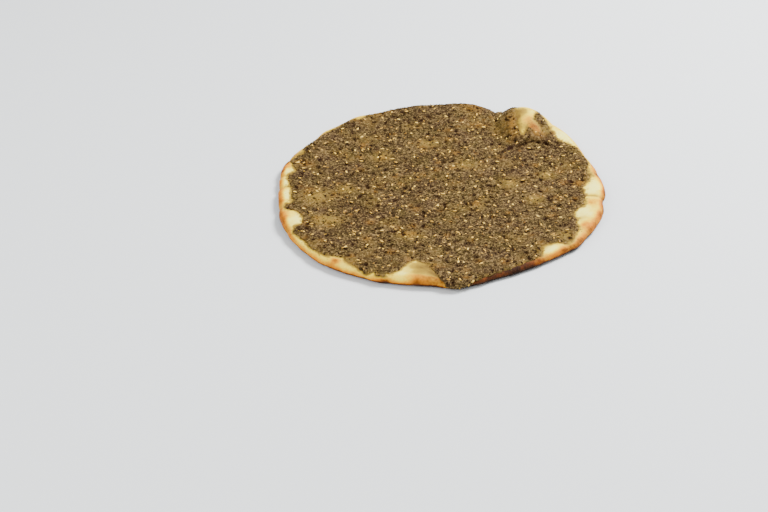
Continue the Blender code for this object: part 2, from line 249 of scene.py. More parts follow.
class Grain:
    """Random unevenness that is the same in each run."""

    TABLE = 256
    GAIN = 1.6

    def __init__(self, seed: int) -> None:
        """Draws the table of directions.

        Args:
            seed: What the draw starts from.
        """
        draw = np.random.default_rng(seed)
        self.order = draw.permutation(self.TABLE)
        slopes = draw.normal(size=(self.TABLE, 3))
        self.slopes = slopes / np.linalg.norm(slopes, axis=1)[:, None]
        self.draws = draw.random((self.TABLE, 5))

    def pick(self, cell: Array) -> Array:
        """The table row of each cell, mixed through the table once for each axis.

        Args:
            cell: Whole numbers, with the axes last.

        Returns:
            One row number for each cell.
        """
        row = np.zeros(cell.shape[:-1], int)
        for axis in range(cell.shape[-1]):
            row = self.order[(row + cell[..., axis]) % self.TABLE]
        return row

    def at(self, points: Array, size: float) -> Array:
        """Smooth noise in space.

        Each corner of a cubic lattice has a random direction. The value is the sum, over the eight
        corners round a point, of direction . (point - corner), weighted along each axis by
        6t^5 - 15t^4 + 10t^3, and scaled to run from about -1 to 1.

        Args:
            points: Points, with their three coordinates last.
            size: The lattice's pitch.

        Returns:
            One value for each point.
        """
        scaled = points / size
        cell = np.floor(scaled).astype(int)
        within = scaled - cell
        fade = within**3 * (within * (within * 6 - 15) + 10)
        value = np.zeros(points.shape[:-1])
        for corner in np.ndindex(2, 2, 2):
            step = np.array(corner)
            slope = self.slopes[self.pick(cell + step)]
            weight = np.prod(np.where(step == 1, fade, 1 - fade), axis=-1)
            value += weight * np.sum(slope * (within - step), axis=-1)
        return self.GAIN * value

    def layers(self, points: Array, rows: Layers) -> Array:
        """The sum of noises, from rows of a pitch in millimetres and a share."""
        return sum(share * self.at(points, pitch * MM) for pitch, share in rows)

    def nearest(self, x: Array, y: Array, size: float) -> tuple[Array, Array, Array]:
        """The nearest of random points, one in each square of a plan grid.

        Args:
            x: The places' X.
            y: The places' Y.
            size: The grid's pitch.

        Returns:
            The offsets from that point along X and Y, in pitches, and its own row of draws.
        """
        spot = np.stack([x, y], axis=-1) / size
        cell = np.floor(spot).astype(int)
        best = np.full(spot.shape[:-1], np.inf)
        offset = np.zeros(spot.shape)
        row = np.zeros(spot.shape[:-1], int)
        for step in np.ndindex(3, 3):
            square = cell + np.array(step) - 1
            found = self.pick(square)
            away = spot - square - self.draws[found][..., :2]
            gap = np.hypot(away[..., 0], away[..., 1])
            closer = gap < best
            best = np.where(closer, gap, best)
            offset = np.where(closer[..., None], away, offset)
            row = np.where(closer, found, row)
        return offset[..., 0], offset[..., 1], self.draws[row]


@dataclass(frozen=True)
class BreadShape:
    """The bread's form, from named sizes. Plan values are measured from the outline's own centre."""

    centre: Pair = (-0.4 * MM, 2.5 * MM)
    mean_radius: float = 129.6 * MM
    edge_waves: tuple[Wave, ...] = waves(
        (2, 4.8, 63), (3, 1.4, 98), (4, 1.4, 55), (5, 1.0, 46), (6, 1.5, 47), (7, 0.8, 9),
    )
    edge_lobes: tuple[Swell, ...] = swells(
        MM, (20, 8, -0.6), (61, 12, -5.5), (67, 5, -2.5), (79, 7, 1.5), (109, 12, -5.5), (121, 4, 1.3),
        (138, 4, 2.0), (166, 5, 1.2), (179, 2.5, -0.8), (200, 7, 1.3), (219, 6, -1.0), (249, 5, 1.3),
        (273, 5, 4.0), (280.5, 3.5, 2.0), (318.5, 5, 1.8), (347.5, 3.5, -1.9),
    )
    middle_thickness: float = 5.4 * MM
    rim_height: float = 8.0 * MM
    rim_width: float = 16 * MM
    edge_rounding: float = 6.0 * MM
    edge_level: float = 0.46
    wave_height: float = 0.45 * MM
    wave_length: float = 78 * MM
    wave_shift: float = 1.0
    rim_changes: tuple[Swell, ...] = swells(
        MM, (20, 9, -0.8), (67, 5, -0.8), (78, 8, 0.8), (105, 16, -0.6), (291, 12, -2.0),
    )
    topping_margin: float = 3.0 * MM
    bare_patches: tuple[Swell, ...] = swells(
        MM, (9.5, 3.2, 3.0), (34, 6, 10.3), (121, 4, 2.5), (138, 3, 2.0), (158, 3.5, 4.2),
        (170.3, 3.8, 7.8), (177.5, 3.5, 3.2), (187.5, 6.5, 6.8), (192.8, 2.2, 3.0), (204.5, 4.8, 13.5),
        (218, 5, 1.5), (227.5, 4, 1.6), (235.5, 3.6, 4.8), (257.6, 2.4, 14.0), (261.8, 4.4, 19.0),
        (309.5, 3.6, 8.5), (336.3, 8.6, 16.5), (354, 9.5, 14.0),
    )
    blister_patch: Swell = Swell(50.5, 5.2, 31.0 * MM)
    puffs: tuple[Swell, ...] = swells(
        MM, (34, 6, 0.6), (121, 4, 0.3), (138, 3, 0.2), (158, 3.5, 0.3), (170.3, 3.8, 0.8),
        (177.5, 3.5, 0.2), (187.5, 6.5, 0.8), (204.5, 4.8, 1.1), (227.5, 4, 0.2), (235.5, 3.6, 0.5),
        (257.6, 2.4, 0.3), (261.8, 4.4, 1.2), (309.5, 3.6, 1.0), (336.3, 8.6, 1.2), (354, 9.5, 1.2),
    )
    reaches: tuple[Swell, ...] = swells(MM, (211.5, 3, 1.6), (249, 3, 1.5), (273, 5, 5.6), (289, 14, 1.8))
    bubbles: tuple[Spot, ...] = spots(
        MM, (-96.5, -20.5, 13, 11, 1.4), (-88, -53, 11, 9, 1.2), (-73, -7.5, 8, 7, 0.8),
        (-25.5, -72, 10, 7, 0.9), (53.5, 0, 9, 10, 1.4), (71, -23.5, 8, 7, 1.0), (83, 10.5, 8, 7, 0.8),
        (-8.5, 63.5, 10, 8, 0.7), (-45.5, 41.5, 9, 9, 0.7),
    )
    blister: Spot = Spot(71.5 * MM, 90.5 * MM, 21 * MM, 29 * MM, 11.6 * MM)
    folds: tuple[tuple[Pair, ...], ...] = (
        path((48, 46), (65, 59), (77, 66), (90, 59)), path((48.5, 111), (47.5, 81)),
    )
    fold_depth: float = 1.7 * MM
    fold_half_width: float = 3.5 * MM
    rounding_spread: float = 26 * MM
    creases: tuple[Swell, ...] = swells(
        MM, (162, 2, 0.7), (174, 1.6, 0.7), (181.5, 1.8, 1.1), (194.5, 2.4, 0.8), (208.5, 2, 0.5),
        (216, 2, 0.4), (222, 2, 0.4), (231, 2, 0.3), (244.5, 2, 0.7), (252, 1.6, 0.5), (305.5, 1.6, 0.5),
        (316, 2, 0.6), (326.5, 2, 0.6), (334, 1.6, 0.4), (341, 1.8, 0.4), (349.5, 1.8, 0.9), (7, 2.2, 0.5),
        (20, 2, 0.4),
    )
    crease_length: float = 11 * MM
    slope_step: float = 0.6 * MM

    def outline(self, angle: Array) -> Array:
        """The plan radius: the mean, the lobes and the waves."""
        return self.mean_radius + total(self.edge_lobes, angle) + total(self.edge_waves, angle)

    def start(self, angle: Array) -> Array:
        """The reach where the edge starts to round over."""
        return self.outline(angle) - self.edge_rounding

    def margin(self, angle: Array) -> Array:
        """How far inside the edge the topping stops. Below zero it runs over the edge."""
        bare = total(self.bare_patches, angle) + self.blister_patch.at(angle)
        return self.topping_margin + bare - total(self.reaches, angle)

    def rim(self, angle: Array) -> Array:
        """The dough's height where the edge starts to round over."""
        return self.rim_height + total(self.puffs, angle) + total(self.rim_changes, angle)

    def from_centre(self, points: Array) -> tuple[Array, Array]:
        """X and Y of points, from the outline's own centre."""
        return points[..., 0] - self.centre[0], points[..., 1] - self.centre[1]

    def fold_share(self, x: Array, y: Array) -> Array:
        """How deep in a fold plan points lie: (1 - (distance / half width) squared) squared."""
        near = [np.minimum(distance_to_path(x, y, fold) / self.fold_half_width, 1) for fold in self.folds]
        return sum((1 - share**2) ** 2 for share in near)

    def bubble_share(self, x: Array, y: Array) -> Array:
        """1 on top of a small bubble, falling to 0 beside it."""
        return np.max([bubble.share(x, y) for bubble in self.bubbles], axis=0)

    def top(self, x: Array, y: Array) -> Array:
        """The height of the dough's top before its edge rounds over.

        It is the middle's thickness, plus the rim's puff times exp(-(inset / width)^2), a low sine
        wave, the small bubbles and the blister's dome 1 - qx^2 - qy^2, less the folds.

        Args:
            x: Plan X.
            y: Plan Y.

        Returns:
            Heights.
        """
        reach, angle = polar(x, y)
        inset = np.maximum(self.start(angle) - reach, 0)
        puff = (self.rim(angle) - self.middle_thickness) * np.exp(-((inset / self.rim_width) ** 2))
        along_x = np.sin(2 * np.pi * x / self.wave_length + self.wave_shift)
        wave = self.wave_height * along_x * np.cos(2 * np.pi * y / self.wave_length)
        off_x = (x - self.blister.x) / self.blister.half_x
        off_y = (y - self.blister.y) / self.blister.half_y
        dome = self.blister.amount * np.maximum(1 - off_x**2 - off_y**2, 0)
        raised = self.middle_thickness + puff + wave + total(self.bubbles, x, y) + dome
        return raised - self.fold_depth * self.fold_share(x, y)

    def turn_at(self, reach: Array, angle: Array) -> Array:
        """How far round the edge places lie: 0 on top, half a turn at the underside, in radians."""
        return np.pi * np.clip((reach - self.start(angle)) / self.rounding_spread, 0, 1)

    def skin(self, reach: Array, angle: Array) -> Array:
        """Points of the dough's surface.

        Up to the start of the rounding, reach is the plan radius. Past it the surface follows two
        quarter ovals: radius = start + rounding sin(turn), and the height falls with cos(turn)
        from the top to the edge's level, and from there to the underside.

        Args:
            reach: The places' reach.
            angle: Their angle.

        Returns:
            Points, with their three coordinates last.
        """
        flat = np.minimum(reach, self.start(angle))
        top = self.top(*plan(flat, angle))
        level = self.edge_level * self.rim(angle)
        over = self.turn_at(reach, angle)
        height = np.where(over < np.pi / 2, level + (top - level) * np.cos(over), level * (1 + np.cos(over)))
        x, y = plan(flat + self.edge_rounding * np.sin(over), angle)
        return np.stack([self.centre[0] + x, self.centre[1] + y, height], axis=-1)

    def facing(self, reach: Array, angle: Array) -> Array:
        """Unit normals of skin(), from its slopes over small steps of the flat plane.

        Args:
            reach: The places' reach.
            angle: Their angle.

        Returns:
            Normals that point out of the dough.
        """
        x, y = plan(reach, angle)
        step = self.slope_step
        along_x = self.skin(*polar(x + step, y)) - self.skin(*polar(x - step, y))
        along_y = self.skin(*polar(x, y + step)) - self.skin(*polar(x, y - step))
        normal = np.cross(along_x, along_y)
        return normal / np.linalg.norm(normal, axis=-1)[..., None]

    def inset(self, reach: Array, angle: Array) -> Array:
        """How far inside the outermost line places lie.

        Args:
            reach: The places' reach.
            angle: Their angle.

        Returns:
            Distances in plan, below zero past the line.
        """
        over = self.turn_at(reach, angle)
        edge = np.minimum(reach, self.start(angle)) + self.edge_rounding * np.sin(over)
        inside = self.outline(angle) - edge
        return np.where(over > np.pi / 2, -inside, inside)

    def crease(self, reach: Array, angle: Array) -> Array:
        """How deep the creases across the rim are.

        Each has a narrower one in its bottom, of a third of its width and half of its depth.

        Args:
            reach: The places' reach.
            angle: Their angle.

        Returns:
            Depths, full at the edge, less inwards by exp(-(inset / length)^2), and less underneath.
        """
        bottoms = tuple(Swell(one.middle, one.half_width / 3, one.amount / 2) for one in self.creases)
        inset = np.maximum(self.inset(reach, angle), 0)
        fade = np.exp(-((inset / self.crease_length) ** 2)) * np.cos(self.turn_at(reach, angle) / 2)
        return (total(self.creases, angle) + total(bottoms, angle)) * fade

    def creased(self, reach: Array, angle: Array) -> tuple[Array, Array]:
        """Points of the skin dented by its creases, and the skin's normals there."""
        normal = self.facing(reach, angle)
        return self.skin(reach, angle) - normal * self.crease(reach, angle)[..., None], normal

    def reach_at(self, margin: Array, angle: Array) -> Array:
        """The reach that lies this far inside the edge.

        On the rounding it is the inverse of radius = start + rounding sin(turn), and below zero
        it goes on past the outermost line.

        Args:
            margin: How far inside the edge.
            angle: In degrees.

        Returns:
            The reach, as skin() takes it.
        """
        start = self.start(angle)
        rise = np.arcsin(np.clip(1 - margin / self.edge_rounding, 0, 1))
        past = np.pi / 2 + np.maximum(-margin, 0) / self.edge_rounding
        rounding = start + self.rounding_spread / np.pi * np.where(margin > 0, rise, past)
        return np.where(margin > self.edge_rounding, start + self.edge_rounding - margin, rounding)


def disc(count: int) -> tuple[Array, Array]:
    """A square grid spread evenly over a disc.

    A square of side 2 is cut into four quarters by its diagonals. In the left and right ones the
    disc's radius is a and its angle 45 b / a degrees, in the other two b and 90 - 45 a / b.

    Args:
        count: Points along each side.

    Returns:
        Radius as a share of the disc's, and angle in degrees, each as a square array.
    """
    line = np.linspace(-1, 1, count)
    a, b = np.meshgrid(line, line, indexing="ij")
    wide = np.abs(a) > np.abs(b)
    radius = np.where(wide, a, b)
    safe_a, safe_b = np.where(a == 0, 1, a), np.where(b == 0, 1, b)
    angle = np.where(wide, 45 * b / safe_a, 90 - 45 * a / safe_b)
    return np.abs(radius), np.where(radius < 0, angle + 180, angle)


def grid_faces(grid: Array, closed: bool = False) -> Array:
    """Four-sided faces between the rows and columns of a grid.

    Args:
        grid: Point numbers.
        closed: Whether the last column joins the first.

    Returns:
        Point numbers, four to a face.
    """
    if closed:
        grid = np.concatenate([grid, grid[:, :1]], axis=1)
    corners = [grid[:-1, :-1], grid[1:, :-1], grid[1:, 1:], grid[:-1, 1:]]
    return np.stack([corner.ravel() for corner in corners], axis=1)


def fan(pole: int, ring: Array) -> Array:
    """Triangles from a pole to each two neighbours on a closed ring."""
    return np.stack([np.full(len(ring), pole), ring, np.roll(ring, -1)], axis=1)


def closed_rings(rings: Array, first: int, last: int) -> list[Array]:
    """Faces of rows of closed rings, with a pole at each end."""
    return [grid_faces(rings, closed=True), fan(first, rings[0]), fan(last, rings[-1, ::-1])]


def add_piece(
    name: str, points: Array, faces: list[Array], marks: dict[Mark, Array], finish: Material
) -> Object:
    """Makes a smooth-shaded, dressed object from arrays, at the origin.

    Args:
        name: The piece's name.
        points: Its points, kept inside the bread's box.
        faces: Arrays of faces with as many corners each as the array is wide.
        marks: Values at its points for the finish to read.
        finish: Its material.

    Returns:
        The object, in the scene.
    """
    mesh = bpy.data.meshes.new(name)
    points = np.clip(points, CAD_LOW, CAD_HIGH)
    sizes = np.concatenate([np.full(len(block), block.shape[1]) for block in faces])
    corners = np.concatenate([block.ravel() for block in faces])
    mesh.vertices.add(len(points))
    mesh.vertices.foreach_set("co", points.astype(np.float32).ravel())
    mesh.loops.add(len(corners))
    mesh.loops.foreach_set("vertex_index", corners.astype(np.int32))
    mesh.polygons.add(len(sizes))
    mesh.polygons.foreach_set("loop_start", (np.cumsum(sizes) - sizes).astype(np.int32))
    mesh.update(calc_edges=True)
    for mark, values in marks.items():
        layer = mesh.attributes.new(mark.value, "FLOAT", "POINT")
        layer.data.foreach_set("value", values.astype(np.float32).ravel())
    mesh.shade_smooth()
    mesh.validate()
    mesh.materials.append(finish)
    made = bpy.data.objects.new(name, mesh)
    bpy.context.scene.collection.objects.link(made)
    return made


def linear(colour: Colour) -> tuple[float, ...]:
    """A colour as a screen shows it, 0 to 255, as the shader takes it.

    Args:
        colour: Red, green and blue.

    Returns:
        Their linear values, 0 to 1, and full cover.
    """
    share = np.array(colour) / 255
    value = np.where(share <= 0.04045, share / 12.92, ((share + 0.055) / 1.055) ** 2.4)
    return (*map(float, value), 1.0)


class Wiring:
    """A node tree that is being wired."""

    def __init__(self, tree: NodeTree) -> None:
        """Keeps the tree to wire."""
        self.tree = tree

    def fill(self, node: Node, inputs: dict[str | int, object]) -> Node:
        """Links outputs to a node's inputs, or sets the inputs' own values.

        Args:
            node: The node.
            inputs: Values or outputs for its inputs, by name or number.

        Returns:
            The node.
        """
        for key, value in inputs.items():
            if isinstance(value, NodeSocket):
                self.tree.links.new(value, node.inputs[key])
            else:
                node.inputs[key].default_value = value
        return node

    def node(self, kind: str, inputs: dict[str | int, object], **settings: object) -> Node:
        """A new node.

        Args:
            kind: Its type, without the words that every shader node's type starts with.
            inputs: Values or outputs for its inputs, by name or number.
            **settings: Its own settings.

        Returns:
            The node.
        """
        node = self.tree.nodes.new("ShaderNode" + kind)
        for name, value in settings.items():
            setattr(node, name, value)
        return self.fill(node, inputs)

    def math(self, operation: str, first: object, second: object, clamp: bool = False) -> NodeSocket:
        """The result of an operation on two values."""
        return self.node("Math", {0: first, 1: second}, operation=operation, use_clamp=clamp).outputs[0]

    def plus(self, first: object, second: object, clamp: bool = False) -> NodeSocket:
        """The sum of two values."""
        return self.math("ADD", first, second, clamp)

    def times(self, first: object, second: object, clamp: bool = False) -> NodeSocket:
        """The product of two values."""
        return self.math("MULTIPLY", first, second, clamp)

    def span(
        self, value: object, low: float, high: float, to_low: float = 0.0, to_high: float = 1.0
    ) -> NodeSocket:
        """A value moved from one span to another, and kept in it."""
        return self.node("MapRange", {0: value, 1: low, 2: high, 3: to_low, 4: to_high}).outputs[0]

    def sway(self, noise: object, low: float, high: float) -> NodeSocket:
        """Noise, which mostly stays between 0.3 and 0.7, spread from low to high."""
        return self.span(noise, 0.3, 0.7, low, high)

    def mix(self, share: object, first: object, second: object) -> NodeSocket:
        """Two colours or colour outputs mixed by a share."""
        colours = [linear(colour) if isinstance(colour, tuple) else colour for colour in (first, second)]
        return self.node("Mix", {0: share, 6: colours[0], 7: colours[1]}, data_type="RGBA").outputs[2]

    def ramp(self, value: object, stops: Stops) -> NodeSocket:
        """A colour read off a ramp.

        Args:
            value: Where to read it.
            stops: Places on the ramp, in order, and their colours.

        Returns:
            The colour's output.
        """
        node = self.node("ValToRGB", {0: value})
        elements = node.color_ramp.elements
        while len(elements) < len(stops):
            elements.new(0.5)
        for element, (place, colour) in zip(elements, stops):
            element.position = place
            element.color = linear(colour)
        return node.outputs[0]

    def mark(self, mark: Mark) -> NodeSocket:
        """The value that the mesh notes."""
        return self.node("Attribute", {}, attribute_name=mark.value).outputs["Fac"]

    def place(self) -> NodeSocket:
        """The place on the object."""
        return self.node("TexCoord", {}).outputs["Object"]

    def noise(self, place: object, scale: float, detail: float = 2.0, rough: float = 0.5) -> NodeSocket:
        """Smooth noise, 0 to 1."""
        inputs = {"Vector": place, "Scale": scale, "Detail": detail, "Roughness": rough}
        return self.node("TexNoise", inputs).outputs[0]

    def cells(self, place: object, scale: object, channel: int) -> tuple[NodeSocket, NodeSocket]:
        """How far places are from their random cell's middle, and a random value of the cell."""
        cells = self.node("TexVoronoi", {"Vector": place, "Scale": scale}).outputs
        return cells["Distance"], self.node("SeparateColor", {0: cells["Color"]}).outputs[channel]

    def bump(self, height: object, strength: float, distance: float) -> NodeSocket:
        """A normal bent by a height."""
        return self.node("Bump", {"Height": height, "Strength": strength, "Distance": distance}).outputs[0]


def speckle_group() -> NodeTree:
    """The fine, sandy look of ground herbs: grains that each have a tone of their own.

    Returns:
        A group that takes the grains to a metre and how dark the painted shade between them is,
        and gives a tone of about 0.5 and a height, both from 0 to 1.
    """
    tree = bpy.data.node_groups.new("herb speckle", "ShaderNodeTree")
    for label, way in (("Grains", "INPUT"), ("Gap shade", "INPUT"), ("Tone", "OUTPUT"), ("Height", "OUTPUT")):
        tree.interface.new_socket(label, in_out=way, socket_type="NodeSocketFloat")
    given, result = tree.nodes.new("NodeGroupInput").outputs, tree.nodes.new("NodeGroupOutput")
    wire = Wiring(tree)
    place = wire.place()
    away, each = wire.cells(place, given["Grains"], 0)
    _, small = wire.cells(place, wire.times(given["Grains"], 1.9), 1)
    spread = wire.plus(wire.times(each, 0.7), wire.times(small, 0.55))
    # Painted shade: the tone is darker in the gaps between the grains.
    gap = wire.times(wire.span(away, 0.35, 0.8), given["Gap shade"])
    tone = wire.math("SUBTRACT", wire.math("SUBTRACT", spread, 0.12), wire.times(gap, 0.5), True)
    height = wire.plus(wire.times(wire.math("SUBTRACT", 1.0, away), 0.7), wire.times(small, 0.3))
    wire.fill(result, {"Tone": tone, "Height": height})
    return tree


def new_material(name: str) -> tuple[Material, Wiring, Node]:
    """A new material.

    Args:
        name: Its name.

    Returns:
        The material, its wiring and its shader.
    """
    material = bpy.data.materials.new(name)
    material.use_nodes = True
    return material, Wiring(material.node_tree), material.node_tree.nodes["Principled BSDF"]


@dataclass(frozen=True)
class DoughFinish:
    """Baked dough: near white where it puffed, golden and then brown where the oven reached it."""

    # White, cream, yellow, golden, amber, orange, tan, brown, red-brown and char.
    bake: Stops = (
        (0.0, (255, 244, 126)), (0.16, (252, 225, 68)), (0.3, (240, 190, 26)), (0.42, (218, 147, 6)),
        (0.52, (200, 120, 4)), (0.62, (170, 97, 8)), (0.72, (124, 69, 18)), (0.8, (92, 47, 18)),
        (0.9, (58, 32, 17)), (1.0, (26, 13, 8)),
    )
    # Damp, oily and soaked.
    oil: Stops = ((0.0, (230, 194, 46)), (0.45, (166, 136, 42)), (1.0, (108, 83, 36)))
    blotches: float = 110.0
    blotch_toast: float = 0.09
    flecks: float = 620.0
    fleck_toast: float = 0.05
    stain_span: Pair = (0.7, 1.15)
    pores: float = 950.0
    roughness: float = 0.62
    gloss: float = 0.06
    glow: float = 0.06

    def build(self) -> Material:
        """Toast and noise choose the colour off one ramp, and oil from the topping stains its edge.

        Returns:
            The material. The stain shows less where the dough is dark, and in the creases it is
            painted shade.
        """
        material, wire, shader = new_material("baked dough")
        place = wire.place()
        blotch = wire.noise(place, self.blotches, 3)
        fleck = wire.noise(place, self.flecks, 3, 0.6)
        uneven = wire.plus(
            wire.sway(blotch, -self.blotch_toast, self.blotch_toast),
            wire.sway(fleck, -self.fleck_toast, self.fleck_toast),
        )
        toast = wire.plus(wire.mark(Mark.TOAST), uneven, True)
        stain = wire.times(wire.mark(Mark.STAIN), wire.sway(blotch, *self.stain_span), True)
        share = wire.times(wire.span(stain, 0.0, 0.4), wire.span(toast, 0.5, 0.75, 1.0, 0.0))
        wire.fill(shader, {
            "Base Color": wire.mix(share, wire.ramp(toast, self.bake), wire.ramp(stain, self.oil)),
            "Roughness": wire.sway(blotch, self.roughness - 0.08, self.roughness + 0.1),
            "Normal": wire.bump(wire.noise(place, self.pores, 3, 0.6), 0.25, 0.3 * MM),
            "Specular IOR Level": self.gloss,
            "Subsurface Weight": self.glow,
            "Subsurface Radius": (1.0, 0.6, 0.3),
            "Subsurface Scale": 1.5 * MM,
        })
        return material


@dataclass(frozen=True)
class PasteFinish:
    """Ground herbs in oil: a fine speckle of dark, grey-brown and tan, olive where it lies thin."""

    # Near black, dark brown, grey-brown, light brown and tan.
    tones: Stops = (
        (0.08, (32, 12, 0)), (0.25, (49, 34, 10)), (0.46, (71, 57, 33)), (0.62, (96, 78, 47)),
        (0.85, (140, 113, 69)),
    )
    # The near black of the painted shade in the pits, along the crease and in small spots.
    pit: Colour = (32, 12, 0)
    thin: Colour = (124, 103, 46)
    thin_gold: Colour = (156, 120, 50)
    oil: Colour = (142, 98, 32)
    purple: Colour = (80, 61, 50)
    olive: Colour = (82, 72, 30)
    hue_share: float = 0.2
    thin_share: float = 0.6
    oil_share: float = 0.7
    tone_drifts: float = 45.0
    hue_drifts: float = 75.0
    gold_flecks: float = 360.0
    roughness: float = 0.6
    grains: float = 820.0
    # How dark the painted shade between the grains is.
    gaps: float = 0.5
    shade_spots: float = 270.0
    gloss: float = 0.04

    def build(self, speckle: NodeTree) -> Material:
        """The speckle's tone is read off a ramp. Thin and oily places change it, and pits and small spots are
        painted near black as shade.

        Args:
            speckle: The herb speckle group.

        Returns:
            The material.
        """
        material, wire, shader = new_material("herb paste")
        place = wire.place()
        grain = wire.node("Group", {"Grains": self.grains, "Gap shade": self.gaps}, node_tree=speckle).outputs
        tone = wire.plus(grain["Tone"], wire.sway(wire.noise(place, self.tone_drifts), -0.06, 0.06), True)
        drift = wire.span(wire.noise(place, self.hue_drifts, 3, 0.6), 0.36, 0.64)
        hue = wire.mix(drift, self.purple, self.olive)
        colour = wire.mix(self.hue_share, wire.ramp(tone, self.tones), hue)
        bare = wire.mark(Mark.THIN)
        thin = wire.plus(wire.times(bare, self.thin_share), wire.span(bare, 0.75, 1.0, 0.0, 0.12))
        gold = wire.span(wire.noise(place, self.gold_flecks, 3, 0.6), 0.4, 0.66)
        colour = wire.mix(thin, colour, wire.mix(gold, self.thin, self.thin_gold))
        colour = wire.mix(wire.times(wire.mark(Mark.OIL), self.oil_share), colour, self.oil)
        # Painted shade: small near-black spots in the pits' colour, where no pit is modelled.
        away, each = wire.cells(place, self.shade_spots, 2)
        shade_spot = wire.times(wire.span(away, 0.19, 0.26, 1.0, 0.0), wire.span(each, 0.22, 0.3))
        wire.fill(shader, {
            "Base Color": wire.mix(wire.math("MAXIMUM", wire.mark(Mark.PIT), shade_spot), colour, self.pit),
            "Roughness": wire.span(tone, 0.2, 0.8, self.roughness + 0.12, self.roughness - 0.1),
            "Normal": wire.bump(grain["Height"], 0.7, 0.5 * MM),
            "Specular IOR Level": self.gloss,
        })
        return material


@dataclass(frozen=True)
class ToneFinish:
    """Scattered things that each have one tone of their own."""

    tones: tuple[Colour, ...]
    roughness: float
    gloss: float

    def paint(self, wire: Wiring, shader: Node, shift: NodeSocket) -> None:
        """Reads each thing's tone, shifted a little, off an even ramp.

        Args:
            wire: The material's wiring.
            shader: Its shader.
            shift: What is added to the tone.
        """
        steps = len(self.tones) - 1
        colour = wire.ramp(
            wire.plus(wire.mark(Mark.TONE), shift, True),
            tuple((step / steps, shade) for step, shade in enumerate(self.tones)),
        )
        gloss = {"Roughness": self.roughness, "Specular IOR Level": self.gloss}
        wire.fill(shader, {"Base Color": colour, **gloss})


@dataclass(frozen=True)
class CrumbFinish(ToneFinish):
    """Loose herb crumbs: each has one tone from near black to tan."""

    tones: tuple[Colour, ...] = (
        (26, 10, 0), (41, 27, 8), (64, 50, 28), (87, 70, 42), (120, 97, 58), (105, 67, 27),
    )
    roughness: float = 0.65
    gloss: float = 0.04
    grains: float = 1500.0
    # How dark the painted shade between the grains is.
    gaps: float = 0.2

    def build(self, speckle: NodeTree) -> Material:
        """The crumb's own tone, broken up a little by the fine speckle.

        Args:
            speckle: The herb speckle group.

        Returns:
            The material.
        """
        material, wire, shader = new_material("herb crumbs")
        grain = wire.node("Group", {"Grains": self.grains, "Gap shade": self.gaps}, node_tree=speckle)
        self.paint(wire, shader, wire.span(grain.outputs["Tone"], 0.2, 0.8, -0.08, 0.08))
        return material


@dataclass(frozen=True)
class SeedFinish(ToneFinish):
    """Sesame seeds: cream to golden, some toasted, with a little shine."""

    tones: tuple[Colour, ...] = (
        (118, 80, 26), (152, 110, 40), (186, 142, 56), (214, 170, 68), (238, 198, 96),
    )
    roughness: float = 0.42
    gloss: float = 0.2
    flecks: float = 500.0

    def build(self) -> Material:
        """The seed's own tone, a little uneven along it.

        Returns:
            The material.
        """
        material, wire, shader = new_material("sesame seeds")
        self.paint(wire, shader, wire.sway(wire.noise(wire.place(), self.flecks), -0.09, 0.09))
        return material


